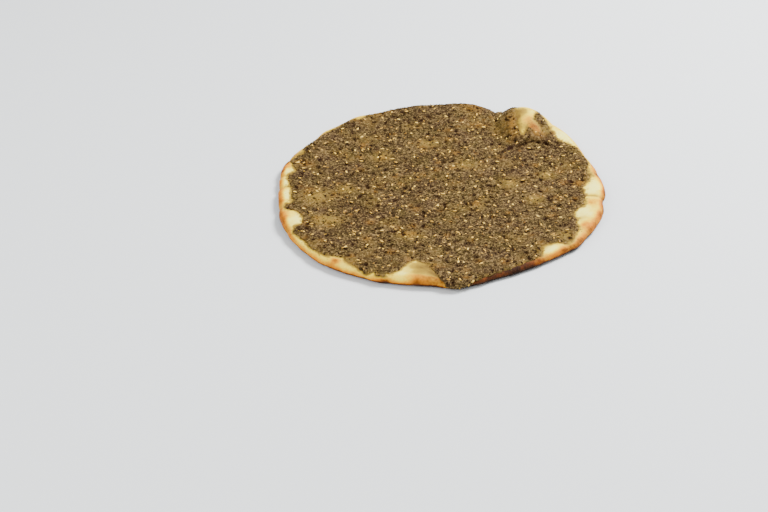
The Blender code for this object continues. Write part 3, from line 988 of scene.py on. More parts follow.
@dataclass(frozen=True)
class ToppingEdge:
    """Where the herb paste ends: the bread's even margin, moved at named places and made ragged."""

    shape: BreadShape
    ragged: float = 1.4 * MM
    rag: Layers = ((5, 1), (2.2, 0.7))
    least_margin: float = 1.6 * MM
    slope_step: float = 0.5 * MM
    changes: tuple[RimSpot, ...] = rim_spots(
        (166.2, 6, 5, 5, -3.2), (170.5, 11, 4, 5, -1.5), (183.4, 8.5, 5, 5, -1.5), (193.8, 9, 3, 4, -1.5),
        (195.5, 4, 3, 3, 1.5), (200.3, 11, 4, 6, -4), (208.3, 12, 3.5, 5, -3.5), (240, 5, 6, 4, -1.5),
        (244.4, 1.2, 2.6, 4, 3.6), (247, 3.5, 2.5, 3, -2.5), (252.5, 6, 5, 5, -5), (256.1, 17, 3.4, 8, -8),
        (268.5, 1.5, 3, 3, 2), (307.4, 10, 2.5, 5, -2.4), (313.6, 7, 4, 4, -3.5), (322, 6, 6, 4, -3.2),
        (328.3, 11, 4, 6, -2.4), (349, 14.5, 4, 5, 1.5), (121, 6, 7, 5, -4.5), (133.5, 5, 9, 4, -4),
        (112, 4, 5, 3, -2.5), (39.5, 9, 5, 5, -2), (232.4, 7.5, 6.5, 5, -3.6), (6.5, 8, 7, 5, -2.2),
        (277, 1.5, 5, 3, -1.6), (181.2, 7, 3.5, 4, -2.4), (187, 9.5, 10, 4, -1.2), (317, 5, 5, 4, -3),
        (42, 11, 6, 3, -2), (287, 2.5, 9, 5, -1.6), (295, 3, 12, 5, -2.6), (170.5, 8, 4, 4, -1.2),
    )
    strip: Swell = Swell(45, 5, 4.0 * MM)
    bare_stripes: tuple[Stripe, ...] = stripes(
        (69.5, 71.5, 69.5, 80.0, 2.6, 5.2), (71.5, 83.0, 76.0, 104.0, 6.6, 10.0),
        (76.0, 81.0, 81.0, 76.0, 5.2, 4.0),
    )
    blister_changes: tuple[Spot, ...] = spots(1, (82.9, 90.6, 2.2, 2.8, 4), (64, 98, 4, 9, -1.5))
    grain: Grain = Grain(23)

    def limit(self, angle: Array) -> Array:
        """The reach that the paste's mesh ends at, outside its visible edge nearly everywhere."""
        return self.shape.reach_at(np.minimum(self.shape.margin(angle), self.least_margin), angle)

    def cover(self, reach: Array, angle: Array) -> Array:
        """How far inside the paste's visible edge each place lies, below zero where the dough is bare.

        The even edge comes from the bread's margin. On the blister it is a strip along the edge
        and some overlapping stripes instead. Named spots move it in or out, and noise roughens it.

        Args:
            reach: The places' reach.
            angle: Their angle.

        Returns:
            Distances in metres.
        """
        shape = self.shape
        x, y = plan(reach, angle)
        margin = shape.margin(angle) - shape.blister_patch.at(angle) + self.strip.at(angle)
        even = shape.reach_at(margin, angle) - reach
        even = np.minimum(even, np.min([stripe.beyond(x, y) for stripe in self.bare_stripes], axis=0))
        moved = total(self.changes, angle, shape.inset(reach, angle), shape.mean_radius)
        moved = moved + total(self.blister_changes, x, y)
        rag = self.grain.layers(np.stack([x, y, np.zeros_like(x)], axis=-1), self.rag)
        return even + moved * MM - self.ragged * rag

    def beside(self, reach: Array, angle: Array) -> Array:
        """How far outside the paste's visible edge places lie.

        It is the cover, turned round, over its slope in plan.

        Args:
            reach: The places' reach.
            angle: Their angle.

        Returns:
            Distances in metres.
        """
        step = self.slope_step
        cover = self.cover(reach, angle)
        out = (self.cover(reach + step, angle) - cover) / step
        turned = (self.cover(reach, angle + np.degrees(step / self.shape.mean_radius)) - cover) / step
        return -cover / np.maximum(np.hypot(out, turned), 1)


@dataclass
class Dough:
    """The bread under its topping, as one closed fine surface."""

    shape: BreadShape
    edge: ToppingEdge
    steps: int = 720
    inner_rings: int = 8
    fine_width: float = 46 * MM
    fine_rings: int = 48
    edge_rings: int = 26
    under_rings: int = 16
    lumps: Layers = ((15, 1), (6, 0.5))
    lump_height: float = 0.22 * MM
    pore_pitch: float = 1.8 * MM
    pore_height: float = 0.06 * MM
    relief_span: Pair = (0.2 * MM, 2 * MM)
    dent_pitch: float = 22 * MM
    under_dent: float = 0.5 * MM
    top_level: float = 0.22
    puff_paler: float = 0.18
    puff_margin: float = 9 * MM
    side_level: float = 0.57
    side_toast: tuple[Swell, ...] = swells(
        1, (199, 5, 0.04), (205, 5, 0.08), (218.5, 4, 0.06), (232, 10, -0.09), (251.5, 2, 0.08),
        (262, 3, 0.05), (267, 3, -0.07), (280, 4.5, 0.28), (292.6, 8, 0.37), (300, 3.5, 0.12),
        (318, 5, 0.14), (326, 6, 0.06), (353, 6, 0.08), (22, 16, -0.12), (50, 14, -0.26), (110, 40, -0.06),
    )
    onset: float = 0.05
    onset_span: float = 0.3
    onset_changes: tuple[Swell, ...] = swells(
        1, (186, 17, -0.09), (217, 5, 0.06), (225, 8, 0.14), (238, 8, 0.18), (247, 4, 0.16),
        (255.5, 3.5, 0.2), (294, 8.5, -0.34), (309, 4, 0.08), (262, 5, 0.1),
    )
    # Browner towards the underside: partly real browning, partly painted shade where the edge turns under
    # towards the floor.
    low_side_browning_and_shade: float = 0.3
    under_span: Pair = (0.44, 0.66)
    pale_span: Pair = (1 * MM, 6 * MM)
    onset_grain: float = 0.03
    toast_grain: float = 0.06
    patches: Layers = ((12, 1), (5, 0.6))
    toast_spots: tuple[RimSpot, ...] = rim_spots(
        (164.6, 3.5, 6, 4, 0.4), (170.6, 2.6, 4, 1.8, 0.2), (174, 5, 2, 5, 0.14), (183, 4, 2.5, 4, 0.16),
        (192, 5, 2, 4, 0.12), (201.5, 5.8, 7, 2.6, 0.32), (210, 4, 2.5, 2.5, 0.16), (233.4, 4.6, 4, 3, 0.5),
        (246.5, 3, 3, 3, -0.1), (251.4, 0.6, 5, 2.4, 0.1), (257, 9, 5, 4, 0.1), (259.5, 15, 9, 6, 0.16),
        (261.5, 6, 8, 2.2, 0.26), (262.4, 3.2, 12, 2.8, 0.32), (265.8, 3.6, 5, 2, 0.2),
        (257.8, 2.4, 6, 2.2, 0.14), (168.4, 6.2, 4, 3, 0.32), (202.5, 10, 7, 2.4, 0.2),
        (264.2, 3.2, 5, 1.6, 0.12), (303.5, 2, 5, 3, 0.04), (325, 3.5, 6, 3, 0.06),
        (329.8, 6.5, 7, 4, 0.42), (333, 3.5, 6, 3, 0.08), (337.5, 3, 7, 3.5, 0.2), (345, 9, 8, 9, 0.38),
        (349.4, 9, 2.4, 7, 0.24), (359, 15, 4, 4, 0.45), (6, 4.5, 9, 5, 0.34), (352.5, 2, 7, 3, 0.1),
        (158, 4.5, 6, 3, 0.3), (121, 5, 6, 3, 0.14), (132, 4, 8, 3, 0.18), (356, 9.5, 8, 5, -0.14),
        (337.5, 13.5, 7, 4, -0.14), (188.5, 6.5, 9, 4, -0.14), (206, 9, 9, 6, -0.14),
        (308.5, 5.5, 10, 4, -0.16), (170.8, 7.4, 6, 4, -0.2), (179.6, 4.8, 5, 3, -0.26),
        (255.8, 4, 8, 6, -0.14), (33, 8, 14, 6, -0.16), (215, 3, 10, 3, -0.06),
    )
    oil_level: float = 0.8
    oil_span: Pair = (-0.5 * MM, 3.6 * MM)
    oil_fade: float = 1.5
    oil_rag: float = 1.1 * MM
    oil_blots: Layers = ((5, 1), (2.4, 0.6))
    # Painted shade: how much of the oil's colour darkens the creases.
    crease_shade: float = 0.25
    stain_spots: tuple[RimSpot, ...] = rim_spots(
        (260.5, 17, 10, 8, 0.75), (263.5, 11, 8, 6, 0.5), (261, 6.5, 8, 2.5, 0.3),
        (332.5, 12, 5, 3.5, 0.35), (318.5, 6.5, 9, 4, 0.5), (238.5, 6, 9, 3.5, 0.5),
        (307.5, 9.5, 12, 3.5, 0.45), (0, 16, 4, 5, 0.5), (201, 15, 6, 3, 0.5), (349.4, 10, 1.8, 5, 0.4),
        (121, 6, 7, 3, 0.3), (132, 4, 8, 3, 0.45), (5.5, 8.5, 5, 3, 0.6), (158.8, 7, 8, 4, 0.8),
        (266.2, 6.5, 5, 5, 0.6),
    )
    blister_stain: tuple[Spot, ...] = spots(
        1, (63.5, 84, 4.5, 16, 0.75), (70, 76, 4, 5, 0.22), (84, 97, 3, 8, 0.4), (80, 77, 6, 6, 0.8),
        (70, 95, 5, 7, 0.9),
    )
    blister_toast: tuple[Spot, ...] = spots(
        1, (78, 79, 5.5, 6, 0.4), (82, 74, 5, 4.5, 0.34), (74, 80, 4, 10, 0.08),
    )
    base_level: float = 0.34
    leopard_level: float = 0.5
    leopard_span: Pair = (0.05, 0.6)
    leopard: Layers = ((12, 1), (4, 0.5))
    # At the middle of the top and of the underside.
    middle_toast: Pair = (0.3, 0.4)
    middle_stain: float = 0.7
    grain: Grain = Grain(11)

    def rings(self, angle: Array) -> Array:
        """The reach of each ring, from the middle of the top to the underside's rim.

        Args:
            angle: The rings' angles.

        Returns:
            A row for each ring, with wide gaps between the inner ones and narrow ones near the edge.
        """
        start = self.shape.start(angle)
        inner = np.linspace(0, 1, self.inner_rings + 2)[1:-1, None] * (start - self.fine_width)
        fine = start - self.fine_width * np.linspace(1, 0, self.fine_rings)[:, None]
        edge = start + self.shape.rounding_spread * np.linspace(0, 1, self.edge_rings + 1)[1:, None]
        return np.concatenate([inner, fine, edge])

    def relief(self, points: Array) -> Array:
        """How far the skin stands out: lumps and pores of noise."""
        pores = self.pore_height * self.grain.at(points, self.pore_pitch)
        return self.lump_height * self.grain.layers(points, self.lumps) + pores

    def toast(self, points: Array, reach: Array, angle: Array) -> Array:
        """How baked each point is, 0 to 1.

        Args:
            points: The skin's points.
            reach: Their reach.
            angle: Their angle.

        Returns:
            A pale top where the dough puffed, a golden to brown outer side that is darker towards the
            underside, partly as painted shade, and named places.
        """
        shape = self.shape
        over = shape.turn_at(reach, angle) / np.pi
        inset = shape.inset(reach, angle)
        puffed = np.clip(total(shape.bare_patches, angle) / self.puff_margin, 0, 1)
        top = self.top_level - self.puff_paler * puffed * smooth(inset, *self.pale_span)
        side = self.side_level + total(self.side_toast, angle)
        # Darker towards the underside: partly browning, partly painted shade.
        side = side + self.low_side_browning_and_shade * smooth(over, *self.under_span)
        patchy = self.grain.layers(points, self.patches)
        onset = over - total(self.onset_changes, angle) + self.onset_grain * patchy
        share = smooth(onset, self.onset, self.onset + self.onset_span)
        named = total(self.toast_spots, angle, inset, shape.mean_radius)
        named = named + total(self.blister_toast, *shape.from_centre(points))
        return np.clip(top * (1 - share) + side * share + named + self.toast_grain * patchy, 0, 1)

    def stain(self, points: Array, reach: Array, angle: Array) -> Array:
        """How much oil the dough took up.

        Args:
            points: The skin's points.
            reach: Their reach.
            angle: Their angle.

        Returns:
            0 to 1: most beside the topping, and at named places. The creases get some too, as painted shade
                    in the oil's colour.
        """
        shape = self.shape
        away = self.edge.beside(reach, angle) + self.oil_rag * self.grain.layers(points, self.oil_blots)
        beside = self.oil_level * (1 - smooth(away, *self.oil_span)) ** self.oil_fade
        named = total(self.stain_spots, angle, shape.inset(reach, angle), shape.mean_radius)
        named = named + total(self.blister_stain, *shape.from_centre(points))
        # Painted shade in the creases.
        creased = self.crease_shade * np.clip(shape.crease(reach, angle) / MM, 0, 1)
        return np.clip(beside + named + creased, 0, 1)

    def build(self, finish: DoughFinish) -> Object:
        """The dough's closed mesh.

        Rings run from the middle over the edge to the underside's rim and back to its middle. The
        underside dents upwards from its flat base by a smooth noise, as a baked base does.

        Args:
            finish: Its finish.

        Returns:
            The dressed piece.
        """
        angle = np.arange(self.steps) * 360 / self.steps
        reach = self.rings(angle)
        angles = np.broadcast_to(angle, reach.shape)
        skin, normal = self.shape.creased(reach, angles)
        out = self.relief(skin) * smooth(skin[..., 2], *self.relief_span)
        top = skin + normal * out[..., None]
        share = np.linspace(1, 0, self.under_rings + 2)[1:-1, None, None]
        middle = np.array([*self.shape.centre, 0.0])
        under = middle + (top[-1] - middle) * share
        dent = np.clip(0.5 + self.grain.at(under, self.dent_pitch), 0, 1) * self.under_dent
        under[..., 2] = dent * smooth(1 - share[..., 0], 0, 0.1)
        head = self.shape.skin(np.zeros(1), np.zeros(1))
        points = np.concatenate([head, top.reshape(-1, 3), under.reshape(-1, 3), middle[None]])
        last = len(points) - 1
        faces = closed_rings(np.arange(1, last).reshape(-1, self.steps), 0, last)
        browned = smooth(self.grain.layers(under, self.leopard), *self.leopard_span)
        browned = self.base_level + self.leopard_level * browned.ravel()
        above, below = self.middle_toast
        toast = np.concatenate([[above], self.toast(skin, reach, angles).ravel(), browned, [below]])
        stain = [[self.middle_stain], self.stain(skin, reach, angles).ravel(), np.zeros(browned.size + 1)]
        marks = {Mark.TOAST: toast, Mark.STAIN: np.concatenate(stain)}
        return add_piece("flatbread_dough", points, faces, marks, finish.build())


@dataclass
class Paste:
    """The herb paste: a thin crumbly skin that lies on the dough and is closed inside it."""

    shape: BreadShape
    edge: ToppingEdge
    points_across: int = 301
    thickness: float = 1.3 * MM
    taper: float = 6 * MM
    hidden: float = 0.6 * MM
    hidden_span: Pair = (-0.9 * MM, 0.0)
    relief_span: Pair = (0.0, 2.5 * MM)
    floor_span: Pair = (0.3 * MM, 1.5 * MM)
    over_bubbles: float = 0.35
    lumps: Layers = ((9, 1), (3.6, 0.6))
    lump_height: float = 0.2 * MM
    crumb_pitch: float = 1.9 * MM
    crumb_height: float = 0.3 * MM
    crumb_least: float = 0.4
    crumb_round: float = 1.6
    pit_pitch: float = 6.6 * MM
    pit_depth: float = 1.3 * MM
    pit_depths: Pair = (0.15, 0.5)
    pit_size: float = 0.5 * MM
    pit_spread: float = 1.0 * MM
    pit_stretch: float = 1.7
    crease_line: tuple[Pair, ...] = path((47, 47), (54, 53), (62, 60), (75, 65), (84, 65), (91, 59))
    crease_half_width: float = 1.15 * MM
    crease_depth: float = 0.6 * MM
    least_height: float = 0.15 * MM
    root_inset: float = 8 * MM
    root_height: float = 2.6 * MM
    broken_pitch: float = 3 * MM
    edge_thin: float = 0.7
    edge_thin_span: Pair = (0.2 * MM, 4.0 * MM)
    mottle: float = 0.35
    mottle_pitch: float = 21 * MM
    mottle_span: Pair = (0.1, 0.7)
    bubble_fade: float = 1.4
    # How dark the pits are painted, as shade.
    pit_shade: float = 1.6
    oil_pitch: float = 17 * MM
    oil_level: float = 0.8
    oil_size: float = 1.2 * MM
    oil_spread: float = 2.2 * MM
    oil_chances: Pair = (0.25, 0.8)
    oil_spots: tuple[Spot, ...] = spots(
        1, (32, 119, 9, 5, 1.0), (35, 92, 8, 4, 0.7), (-106, 29, 6, 5, 0.8), (81, 72, 6, 4, 0.9),
        (62, 82, 4, 14, 0.8), (107.5, -3, 5, 4, 1.1), (14, -129, 3.4, 2, 0.9), (14, -120, 2.6, 2.4, 0.8),
        (-82, 99, 9, 4, 0.5), (-50, 110, 8, 4, 0.5), (-66, 100, 8, 4, 0.5), (-25.5, -70.8, 5.5, 2.6, 1.0),
        (-94, -50.5, 2.6, 3, 1.1), (-101, -9, 4, 5, 0.6), (89, -22, 3, 4, 0.7),
    )
    thin_and_lit_spots: tuple[Spot, ...] = spots(
        1, (20, 30, 9, 8, 0.5), (-60, 70, 12, 7, 0.4), (100, 25, 8, 8, 0.5), (57, 88, 8, 16, 0.5),
        (-86, -52, 7, 6, 0.5), (89, 77, 4, 5, 0.9), (90.5, -78.5, 6, 7, 0.9), (-17, -112, 14, 4, 0.8),
        # The spot at (48, 88) is painted light: it lightens the blister's left flank, which faces away from
        # the key light.
        (-67, -108, 8, 4, 0.7), (48, 88, 5, 14, 0.35), (82, 88, 3, 3, 0.3), (-86, -49, 5, 5, 0.4),
        (68, -96, 5, 6, 0.8),
    )
    grain: Grain = Grain(23)

    def body(self, reach: Array, angle: Array) -> Array:
        """The paste's thickness without its crumbs.

        It is full inside, falls to nothing at the visible edge by the square root of the distance,
        is less on bubbles, and goes below the dough's skin where the dough is bare.

        Args:
            reach: The places' reach.
            angle: Their angle.

        Returns:
            Thicknesses, below zero where the paste is hidden.
        """
        cover = self.edge.cover(reach, angle)
        share = 1 - self.over_bubbles * self.shape.bubble_share(*plan(reach, angle))
        full = self.thickness * np.sqrt(np.clip(cover / self.taper, 0, 1)) * share
        return full - self.hidden * (1 - smooth(cover, *self.hidden_span))

    def pits(self, x: Array, y: Array) -> Array:
        """How deep in a pit each place lies.

        One pit stands in most squares of a grid. It is an oval exp(-(u / a)^2 - (v / b)^2), turned
        by the square's own draw.

        Args:
            x: Plan X.
            y: Plan Y.

        Returns:
            0 to 1.
        """
        off_x, off_y, draws = self.grain.nearest(x, y, self.pit_pitch)
        turn = 2 * np.pi * draws[..., 2]
        along = (off_x * np.cos(turn) + off_y * np.sin(turn)) * self.pit_pitch
        across = (off_y * np.cos(turn) - off_x * np.sin(turn)) * self.pit_pitch
        size = self.pit_size + self.pit_spread * draws[..., 3] ** 2
        depth = smooth(draws[..., 4], *self.pit_depths)
        return depth * np.exp(-((along / (self.pit_stretch * size)) ** 2) - (across / size) ** 2)

    def on_line(self, reach: Array, angle: Array) -> Array:
        """How near places are to the crease: exp of minus (distance / half width) squared."""
        away = distance_to_path(*plan(reach, angle), self.crease_line)
        return np.exp(-((away / self.crease_half_width) ** 2))

    def relief(self, points: Array) -> Array:
        """How far lumps and crumbs stand out.

        Args:
            points: Points of the skin.

        Returns:
            Heights: noise, and rounded cells that each have a height of their own.
        """
        off_x, off_y, draws = self.grain.nearest(points[..., 0], points[..., 1], self.crumb_pitch)
        falling = 1 - np.clip(off_x**2 + off_y**2, 0, 1) * self.crumb_round
        crumb = (self.crumb_least + draws[..., 3]) * falling - self.crumb_least
        return self.lump_height * self.grain.layers(points, self.lumps) + self.crumb_height * crumb

    def lie(self, reach: Array, angle: Array) -> tuple[Array, Array]:
        """Points on the paste's even surface for things to lie at, and normals."""
        base, normal = self.shape.creased(reach, angle)
        return base + normal * self.body(reach, angle)[..., None], normal

    def build(self, finish: PasteFinish, speckle: NodeTree) -> Object:
        """The paste's closed mesh.

        A square grid is spread over the disc and scaled to the paste's edge. Its border goes down
        into the dough and is closed there by a fan to one point.

        Args:
            finish: Its finish.
            speckle: The herb speckle group.

        Returns:
            The dressed piece.
        """
        share, angle = disc(self.points_across)
        reach = share * self.edge.limit(angle)
        base, normal = self.shape.creased(reach, angle)
        cover = self.edge.cover(reach, angle)
        inside = smooth(cover, *self.relief_span)
        pit = self.pits(base[..., 0], base[..., 1]) * inside
        height = self.body(reach, angle) + self.relief(base) * inside - self.pit_depth * pit
        height = height - self.crease_depth * self.on_line(reach, angle)
        floor = (self.hidden + self.least_height) * smooth(cover, *self.floor_span) - self.hidden
        top = base + normal * np.maximum(height, floor)[..., None]
        grid = np.arange(share.size).reshape(share.shape)
        # The grid's outer points, once round, counter-clockwise on the disc.
        loop = np.concatenate([grid[:-1, 0], grid[-1, :-1], grid[:0:-1, -1], grid[0, :0:-1]])
        rim = top.reshape(-1, 3)[loop]
        foot = rim - normal.reshape(-1, 3)[loop] * self.hidden
        middle = np.array([*self.shape.centre, 0.0])
        out = rim[:, :2] - middle[:2]
        length = np.linalg.norm(out, axis=1)[:, None]
        inner = middle[:2] + out * (1 - self.root_inset / length)
        root = np.concatenate([inner, np.full_like(length, self.root_height)], axis=1)
        hub = middle + [0, 0, self.root_height]
        points = np.concatenate([top.reshape(-1, 3), foot, root, hub[None]])
        last = len(points) - 1
        collar = np.concatenate([loop[None], np.arange(grid.size, last).reshape(2, -1)])
        faces = [grid_faces(grid), grid_faces(collar, closed=True), fan(last, collar[-1, ::-1])]
        tail = np.zeros(len(points) - grid.size)
        marks = self.marks(base, reach, angle, cover, pit)
        padded = {mark: np.concatenate([values.ravel(), tail]) for mark, values in marks.items()}
        return add_piece("zaatar_paste", points, faces, padded, finish.build(speckle))

    def marks(self, base: Array, reach: Array, angle: Array, cover: Array, pit: Array) -> dict[Mark, Array]:
        """Where the paste is thin or oily, and where it is painted dark as shade in its pits and along the
        crease.

        Args:
            base: Points of the skin.
            reach: Their reach.
            angle: Their angle.
            cover: How far they lie inside the paste's edge.
            pit: How deep in a pit they lie.

        Returns:
            The marks, 0 to 1.
        """
        x, y = base[..., 0], base[..., 1]
        place = plan(reach, angle)
        points = np.stack([x, y, np.zeros_like(x)], axis=-1)
        broken = smooth(self.grain.at(points, self.broken_pitch), -0.5, 0.5)
        edge_thin = self.edge_thin * broken * (1 - smooth(cover, *self.edge_thin_span))
        mottled = self.mottle * smooth(self.grain.at(points, self.mottle_pitch), *self.mottle_span)
        thin = np.maximum(self.shape.bubble_share(*place) ** self.bubble_fade, edge_thin)
        thin = np.clip(thin + total(self.thin_and_lit_spots, *place) + mottled, 0, 1)
        # Half a metre off, the same table gives other draws than the pits have.
        off_x, off_y, draws = self.grain.nearest(x + 0.5, y + 0.5, self.oil_pitch)
        away = np.hypot(off_x, off_y) * self.oil_pitch
        size = self.oil_size + self.oil_spread * draws[..., 2]
        small = np.exp(-((away / size) ** 2)) * smooth(draws[..., 3], *self.oil_chances)
        oil = total(self.oil_spots, *place) + self.oil_level * small
        oil = np.clip(oil * (0.35 + 0.65 * broken), 0, 1)
        # Painted shade: the pits and the crease line at the blister's foot are painted near black.
        dark = np.clip(pit * self.pit_shade + self.on_line(reach, angle) * (0.6 + 0.4 * broken), 0, 1)
        return {Mark.PIT: dark, Mark.THIN: thin, Mark.OIL: oil}


@dataclass(frozen=True)
class Lay:
    """How scattered things lie: where, which way, how large and of what tone."""

    points: Array
    normals: Array
    yaw: Array
    tilt: Array
    size: Array
    tone: Array

    def only(self, kept: Array) -> "Lay":
        """The same for some of the things."""
        return Lay(*(values[kept] for values in vars(self).values()))


def scattered(name: str, model: Array, faces: list[Array], lay: Lay, finish: Material) -> Object:
    """Copies of one small closed shape, joined in one mesh.

    Each copy is turned by its yaw about its own upright, tilted, and stood on its normal n, with
    the axes u = n x (0, 1, 0) made unit, and v = n x u.

    Args:
        name: The piece's name.
        model: The shape's points, upright and in metres.
        faces: Its faces.
        lay: Where the copies lie. Its size may be one number or three for each copy.
        finish: Their material.

    Returns:
        The object.
    """
    u = np.cross(np.array([0.0, 1.0, 0.0]), lay.normals)
    u /= np.linalg.norm(u, axis=1)[:, None]
    v = np.cross(lay.normals, u)
    cos, sin = np.cos(lay.yaw)[:, None], np.sin(lay.yaw)[:, None]
    along, across = cos * u + sin * v, cos * v - sin * u
    cos, sin = np.cos(lay.tilt)[:, None], np.sin(lay.tilt)[:, None]
    axes = np.stack([cos * along + sin * lay.normals, across, cos * lay.normals - sin * along], axis=1)
    size = lay.size if lay.size.ndim == 2 else np.repeat(lay.size[:, None], 3, axis=1)
    points = lay.points[:, None, :] + np.einsum("cpa,cab->cpb", model[None] * size[:, None, :], axes)
    shift = (np.arange(len(lay.points)) * len(model))[:, None, None]
    blocks = [(block[None] + shift).reshape(-1, block.shape[1]) for block in faces]
    marks = {Mark.TONE: np.repeat(lay.tone, len(model))}
    return add_piece(name, points.reshape(-1, 3), blocks, marks, finish)


def drop(along: int, around: int, size: Triple, narrow: float) -> tuple[Array, list[Array]]:
    """A flat drop along X: an oval whose sections shrink towards one end.

    The point at share t and turn s is (-cos t, k sin t cos s, k sin t sin s) times the half sizes,
    with k = 1 - narrow (1 - cos t) / 2.

    Args:
        along: Rings between the ends.
        around: Points to a ring.
        size: Its length, width and thickness.
        narrow: How much smaller the sections are at the far end.

    Returns:
        Points and faces.
    """
    t = np.pi * np.arange(1, along + 1)[:, None] / (along + 1)
    s = 2 * np.pi * np.arange(around) / around
    k = (1 - narrow * (1 - np.cos(t)) / 2) * np.sin(t)
    ring = np.stack(np.broadcast_arrays(-np.cos(t), k * np.cos(s), k * np.sin(s)), axis=-1)
    points = np.concatenate([ring.reshape(-1, 3), [[-1, 0, 0], [1, 0, 0]]]) * np.array(size) / 2
    count = along * around
    return points, closed_rings(np.arange(count).reshape(along, around)[:, ::-1], count, count + 1)


@dataclass
class Seeds:
    """The sesame seeds: the larger ones spread by the golden angle, and smaller ones among them."""

    shape: BreadShape
    paste: Paste
    large: int = 188
    small: int = 560
    size: Triple = (3.1 * MM, 2.0 * MM, 1.15 * MM)
    narrow: float = 0.5
    spread: float = 0.12
    rise: float = 0.16 * MM
    tilt: float = math.radians(7)
    jitter: float = 3.2 * MM
    keep_in: float = 4.5 * MM
    least_cover: float = 1.0 * MM
    large_tones: Pair = (0.45, 1.0)
    # The smaller ones' draws: tones by a beta draw, sizes as shares and rises in millimetres.
    small_tones: Pair = (1.8, 1.6)
    small_sizes: Pair = (0.62, 0.92)
    small_rises: Pair = (-0.25, 0.3)
    small_tilt: float = 0.22
    draw: int = 7

    def large_places(self, draw: random.Random) -> Array:
        """Plan points by the golden angle, each moved a little, but for those in a fold.

        Args:
            draw: What moves them.

        Returns:
            A row of X and Y for each.
        """
        shape, places = self.shape, []
        for index in range(self.large):
            turn = index * GOLDEN_ANGLE
            angle = np.array(math.degrees(turn))
            margin = max(float(shape.margin(angle)), shape.edge_rounding)
            inside = float(shape.outline(angle)) - margin - self.keep_in
            radius = inside * math.sqrt((index + 0.5) / self.large)
            x = radius * math.cos(turn) + draw.uniform(-self.jitter, self.jitter)
            y = radius * math.sin(turn) + draw.uniform(-self.jitter, self.jitter)
            if all(distance_to_path(x, y, fold) > shape.fold_half_width for fold in shape.folds):
                places.append((x, y))
        return np.array(places)

    def build(self, finish: SeedFinish) -> Object:
        """All the seeds in one mesh.

        Args:
            finish: Their finish.

        Returns:
            The dressed piece.
        """
        draw = random.Random(self.draw)
        large = self.large_places(draw)
        # Each larger seed's four draws, as the solid's seeds take them. The first isn't needed here.
        tilts = (-self.tilt, self.tilt)
        limits = (tilts, tilts, (0, 2 * math.pi), (-self.spread, self.spread))
        turned = np.array([[draw.uniform(*ends) for ends in limits] for _ in large])
        more = np.random.default_rng(self.draw)
        angle = more.uniform(0, 360, self.small)
        reach = np.sqrt(more.random(self.small)) * self.paste.edge.limit(angle)
        reach, angle = (np.concatenate(pair) for pair in zip(polar(*large.T), (reach, angle)))
        kept = self.paste.edge.cover(reach, angle) > self.least_cover
        points, normals = self.paste.lie(reach, angle)
        rises = more.uniform(*self.small_rises, self.small) * MM
        rise = np.concatenate([np.full(len(large), self.rise), rises])
        size = np.concatenate([1 + turned[:, 3], more.uniform(*self.small_sizes, self.small)])
        tones = more.uniform(*self.large_tones, len(large))
        tone = np.concatenate([tones, more.beta(*self.small_tones, self.small)])
        yaw = np.concatenate([turned[:, 2], more.uniform(0, 2 * np.pi, self.small)])
        tilt = np.concatenate([turned[:, 1], more.normal(0, self.small_tilt, self.small)])
        lay = Lay(points + normals * rise[:, None], normals, yaw, tilt, size, tone).only(kept)
        return scattered("sesame_seeds", *drop(5, 8, self.size, self.narrow), lay, finish.build())


@dataclass
class Crumbs:
    """Loose crumbs and slivers of herb on the paste, and a few past its edge."""

    paste: Paste
    count: int = 9600
    past_edge: float = 0.5 * MM
    stray_reach: float = 5 * MM
    stray_fade: float = 2.2
    stray_size: float = 0.6
    # The darkest stray's tone, and the span of tones above it.
    stray_tones: Pair = (0.35, 0.6)
    # The crumbs' draws: tones by a beta draw, lifts and three sizes in millimetres.
    tones: Pair = (1.7, 1.9)
    lifts: Pair = (-0.1, 0.25)
    sizes: tuple[Pair, ...] = ((0.6, 1.9), (0.5, 1.1), (0.4, 0.8))
    tilt: float = 0.35
    narrow: float = 0.25
    draw: int = 31

    def build(self, finish: CrumbFinish, speckle: NodeTree) -> Object:
        """All the crumbs in one mesh. Few lie past the paste's edge, and they are smaller and paler.

        Args:
            finish: Their finish.
            speckle: The herb speckle group.

        Returns:
            The dressed piece.
        """
        draw = np.random.default_rng(self.draw)
        count = self.count
        angle = draw.uniform(0, 360, count)
        reach = np.sqrt(draw.random(count)) * (self.paste.edge.limit(angle) + self.past_edge)
        cover = self.paste.edge.cover(reach, angle)
        kept = cover > -self.stray_reach * draw.random(count) ** self.stray_fade
        points, normals = self.paste.lie(reach, angle)
        size = np.stack([draw.uniform(*ends, count) for ends in self.sizes], axis=1)
        size *= np.where(cover < 0, self.stray_size, 1)[:, None]
        lift = draw.uniform(*self.lifts, count) * MM + np.maximum(-self.paste.body(reach, angle), 0)
        tone = draw.beta(*self.tones, count)
        darkest, spread = self.stray_tones
        tone = np.where(cover < 0, darkest + spread * tone, tone)
        yaw = draw.uniform(0, 2 * np.pi, count)
        tilt = draw.normal(0, self.tilt, count)
        lay = Lay(points + normals * lift[:, None], normals, yaw, tilt, size, tone).only(kept)
        return scattered("herb_crumbs", *drop(2, 5, (MM, MM, MM), self.narrow), lay, finish.build(speckle))


